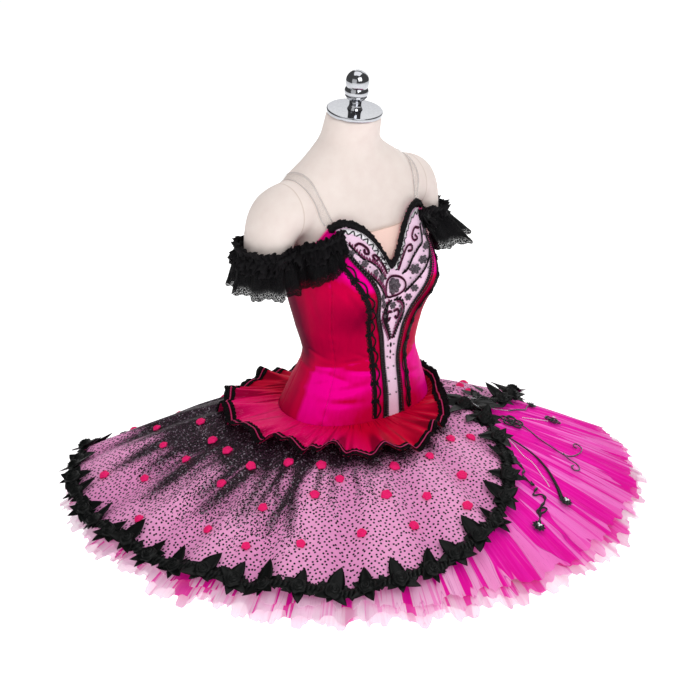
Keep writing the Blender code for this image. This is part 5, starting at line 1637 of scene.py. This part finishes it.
# A cluster of larger leaves hides where the cords start.
apex = np.radians(np.array([-78, -56, -30, -4, 24, 60, 105, 150, 190, 235]) - 45)
start = polar(np.radians(np.full(len(apex), -44.5)), 0.228)
places, normal = on_garland(start, 0.0046)
sizes = np.array([1.0, 1.25, 1.1, 1.3, 1.0, 0.9, 0.8, 0.9, 0.8, 0.9])
cluster = scattered(leaf_shape(0.036, 0.019, 0.10), places, polar(apex), normal, sizes)
# More of them climb over the organza to the frill: bearing, reach, way they point, length and width.
CLIMBING = table(
    "bearing reach turn long wide",
    (-46, 0.206, 150, 0.046, 0.030), (-40, 0.204, 118, 0.042, 0.026), (-52, 0.206, 186, 0.040, 0.026),
    (-45, 0.200, 100, 0.036, 0.022), (-36, 0.232, 96, 0.040, 0.022), (-28, 0.252, 84, 0.034, 0.020),
    (-45, 0.222, 135, 0.050, 0.032), (-57, 0.228, 208, 0.034, 0.020))
places, normal = on_garland(polar(np.radians(CLIMBING["bearing"]), CLIMBING["reach"]), 0.0060)
level = polar(np.radians(CLIMBING["turn"]))
climbing = [scattered(leaf_shape(long, wide, 0.08), places[k:k + 1], level[k:k + 1], normal[k:k + 1])
            for k, (long, wide) in enumerate(zip(CLIMBING["long"], CLIMBING["wide"]))]
heart = scattered(rose_shape(0.0150, 0.0140, 3.2), places[:1], level[:1], normal[:1])
piece("apex_leaves", joined(cluster, heart, *climbing), ribbon_black, sewn=True)


def lace_flower(radius, petals=9):
    """A padded round flower: overlapping oval petals under a domed middle."""
    turn = np.linspace(0, 2 * math.pi, petals, endpoint=False)
    along = unit(polar(turn, height=0.14))
    ring = scattered(leaf_shape(radius, radius * 0.80, 0.06, 7), along * radius * 0.06, along,
                     np.cross(along, polar(turn + math.pi / 2)))
    return joined(ring, raised(bead_shape(radius * np.array([0.55, 0.55, 0.33])), radius * 0.10))


def lace_motif(radius, lobes=5):
    """A corded motif: a curl of cord for each lobe round a small bud, open between."""
    turn = np.linspace(0, 2 * math.pi, 26 * lobes)
    out = np.maximum(radius * (0.58 + 0.42 * np.cos(lobes * turn)), 0.16 * radius)
    curl = polar(turn + 0.30 * np.sin(lobes * turn), out, 0.0010)
    rim = polar(turn, 0.62 * radius, 0.0020)
    return joined(cord_shape(curl, upright(curl), 0.0017, 0.0012),
                  cord_shape(rim, upright(rim), 0.0011, 0.0009),
                  petal_flower(5, radius * 0.34, 0.0014))


def set_on_net(shape, rows, lift, first, turn):
    """Copies of a shape on the net at rows of (bearing, reach, size), each turned on from the last."""
    places, normal = over_net(rows[:, 0], rows[:, 1], lift)
    return scattered(shape, places, turned(normal, first + turn * np.arange(len(rows))), normal, rows[:, 2])


flowers = set_on_net(lace_flower(0.0118), LACE_FLOWERS, 0.0040, 0.0, 1.3)
motifs = set_on_net(lace_motif(0.0185), LACE_MOTIFS, 0.0030, 0.9, 1.9)
piece("spray_cords_and_flowers", joined(*stems, flowers, motifs), jet, sewn=True)
piece("spray_beads", joined(*seed_beads), pewter)

# Cut glass: clear and white, hard-edged, flat-backed.
crystal, tree, shader, coords = finish_of("cut_crystal_white", Roughness=0.08)
facet = node(tree, "TexVoronoi", coords["Object"], Scale=1500.0).outputs["Color"]
settle(shader, Base_Color=node(tree, "Mix", node(tree, "SeparateColor", facet), "#D9DDE6", "#FFFFFF",
                               data_type="RGBA"))


def three_petals(radius):
    """A little trefoil of faceted stones: three flat drops that meet at a point."""
    along = polar(np.radians([90.0, 210.0, 330.0]))
    return scattered(bead_shape(np.array([0.50, 0.36, 0.22]) * radius), along * radius * 0.50, along,
                     upright(along))


STONES = np.array([(-73, 0.446, 1.0), (-86, 0.456, 1.0), (-23, 0.364, 0.9), (-32, 0.388, 0.7)])
stones = piece("crystals", joined(set_on_net(three_petals(0.0054), STONES, 0.0105, 0.0, 2.1), *silver_beads),
               crystal, sewn=True)
stones.data.shade_flat()


# ---- floor, lights and camera -----------------------------------------------
# A white studio sweep with soft light from above and both sides.

white = two_tone("studio_white", "#FAFAFA", "#FFFFFF", 15.0, 1.0, Roughness=0.9, Emission_Color="#FFFFFF",
                 Emission_Strength=0.60)
floor_mesh = bpy.data.meshes.new("floor")
floor_mesh.from_pydata([(-8, -8, 0), (8, -8, 0), (8, 8, 0), (-8, 8, 0)], [], [(0, 1, 2, 3)])
floor_mesh.materials.append(white)
floor = bpy.data.objects.new("floor", floor_mesh)
bpy.context.scene.collection.objects.link(floor)

for name, place, aim, power, size in (
        ("key", (-0.6, -3.0, 2.9), (0, 0, 0.45), 46, 2.2),
        ("fill", (-3.0, -1.0, 1.5), (0, 0, 0.45), 14, 2.6),
        ("top", (0.3, 0.2, 3.2), (0, 0, 0.30), 22, 2.2),
        ("back", (2.4, 1.8, 2.0), (0, 0, 0.50), 20, 2.4)):
    lamp = bpy.data.lights.new(name, "AREA")
    lamp.energy = power
    lamp.size = size
    made = bpy.data.objects.new(name, lamp)
    made.location = place
    made.rotation_euler = (Vector(aim) - Vector(place)).to_track_quat("-Z", "Y").to_euler()
    bpy.context.scene.collection.objects.link(made)

world = bpy.data.worlds.new("studio")
bpy.context.scene.world = world
world.use_nodes = True
tree = world.node_tree
rays = node(tree, "LightPath").outputs
dim = node(tree, "MapRange", rays["Is Glossy Ray"], 0.0, 1.0, 0.42, 0.10)
settle(tree.nodes["Background"], Color="#FFFFFF",
       Strength=node(tree, "Math", dim, rays["Is Camera Ray"], operation="MAXIMUM"))
bpy.context.scene.view_settings.view_transform = "Standard"

camera = bpy.data.cameras.new("camera")
camera.lens = 1900 / 700 * 36
camera.sensor_width = 36
camera.shift_x = -0.0054
made = bpy.data.objects.new("camera", camera)
made.location = (math.sin(math.radians(-41)) * 3.28, -math.cos(math.radians(-41)) * 3.28, 1.80)
made.rotation_euler = (Vector((0, 0, 0.4264)) - made.location).to_track_quat("-Z", "Y").to_euler()
bpy.context.scene.collection.objects.link(made)
bpy.context.scene.camera = made
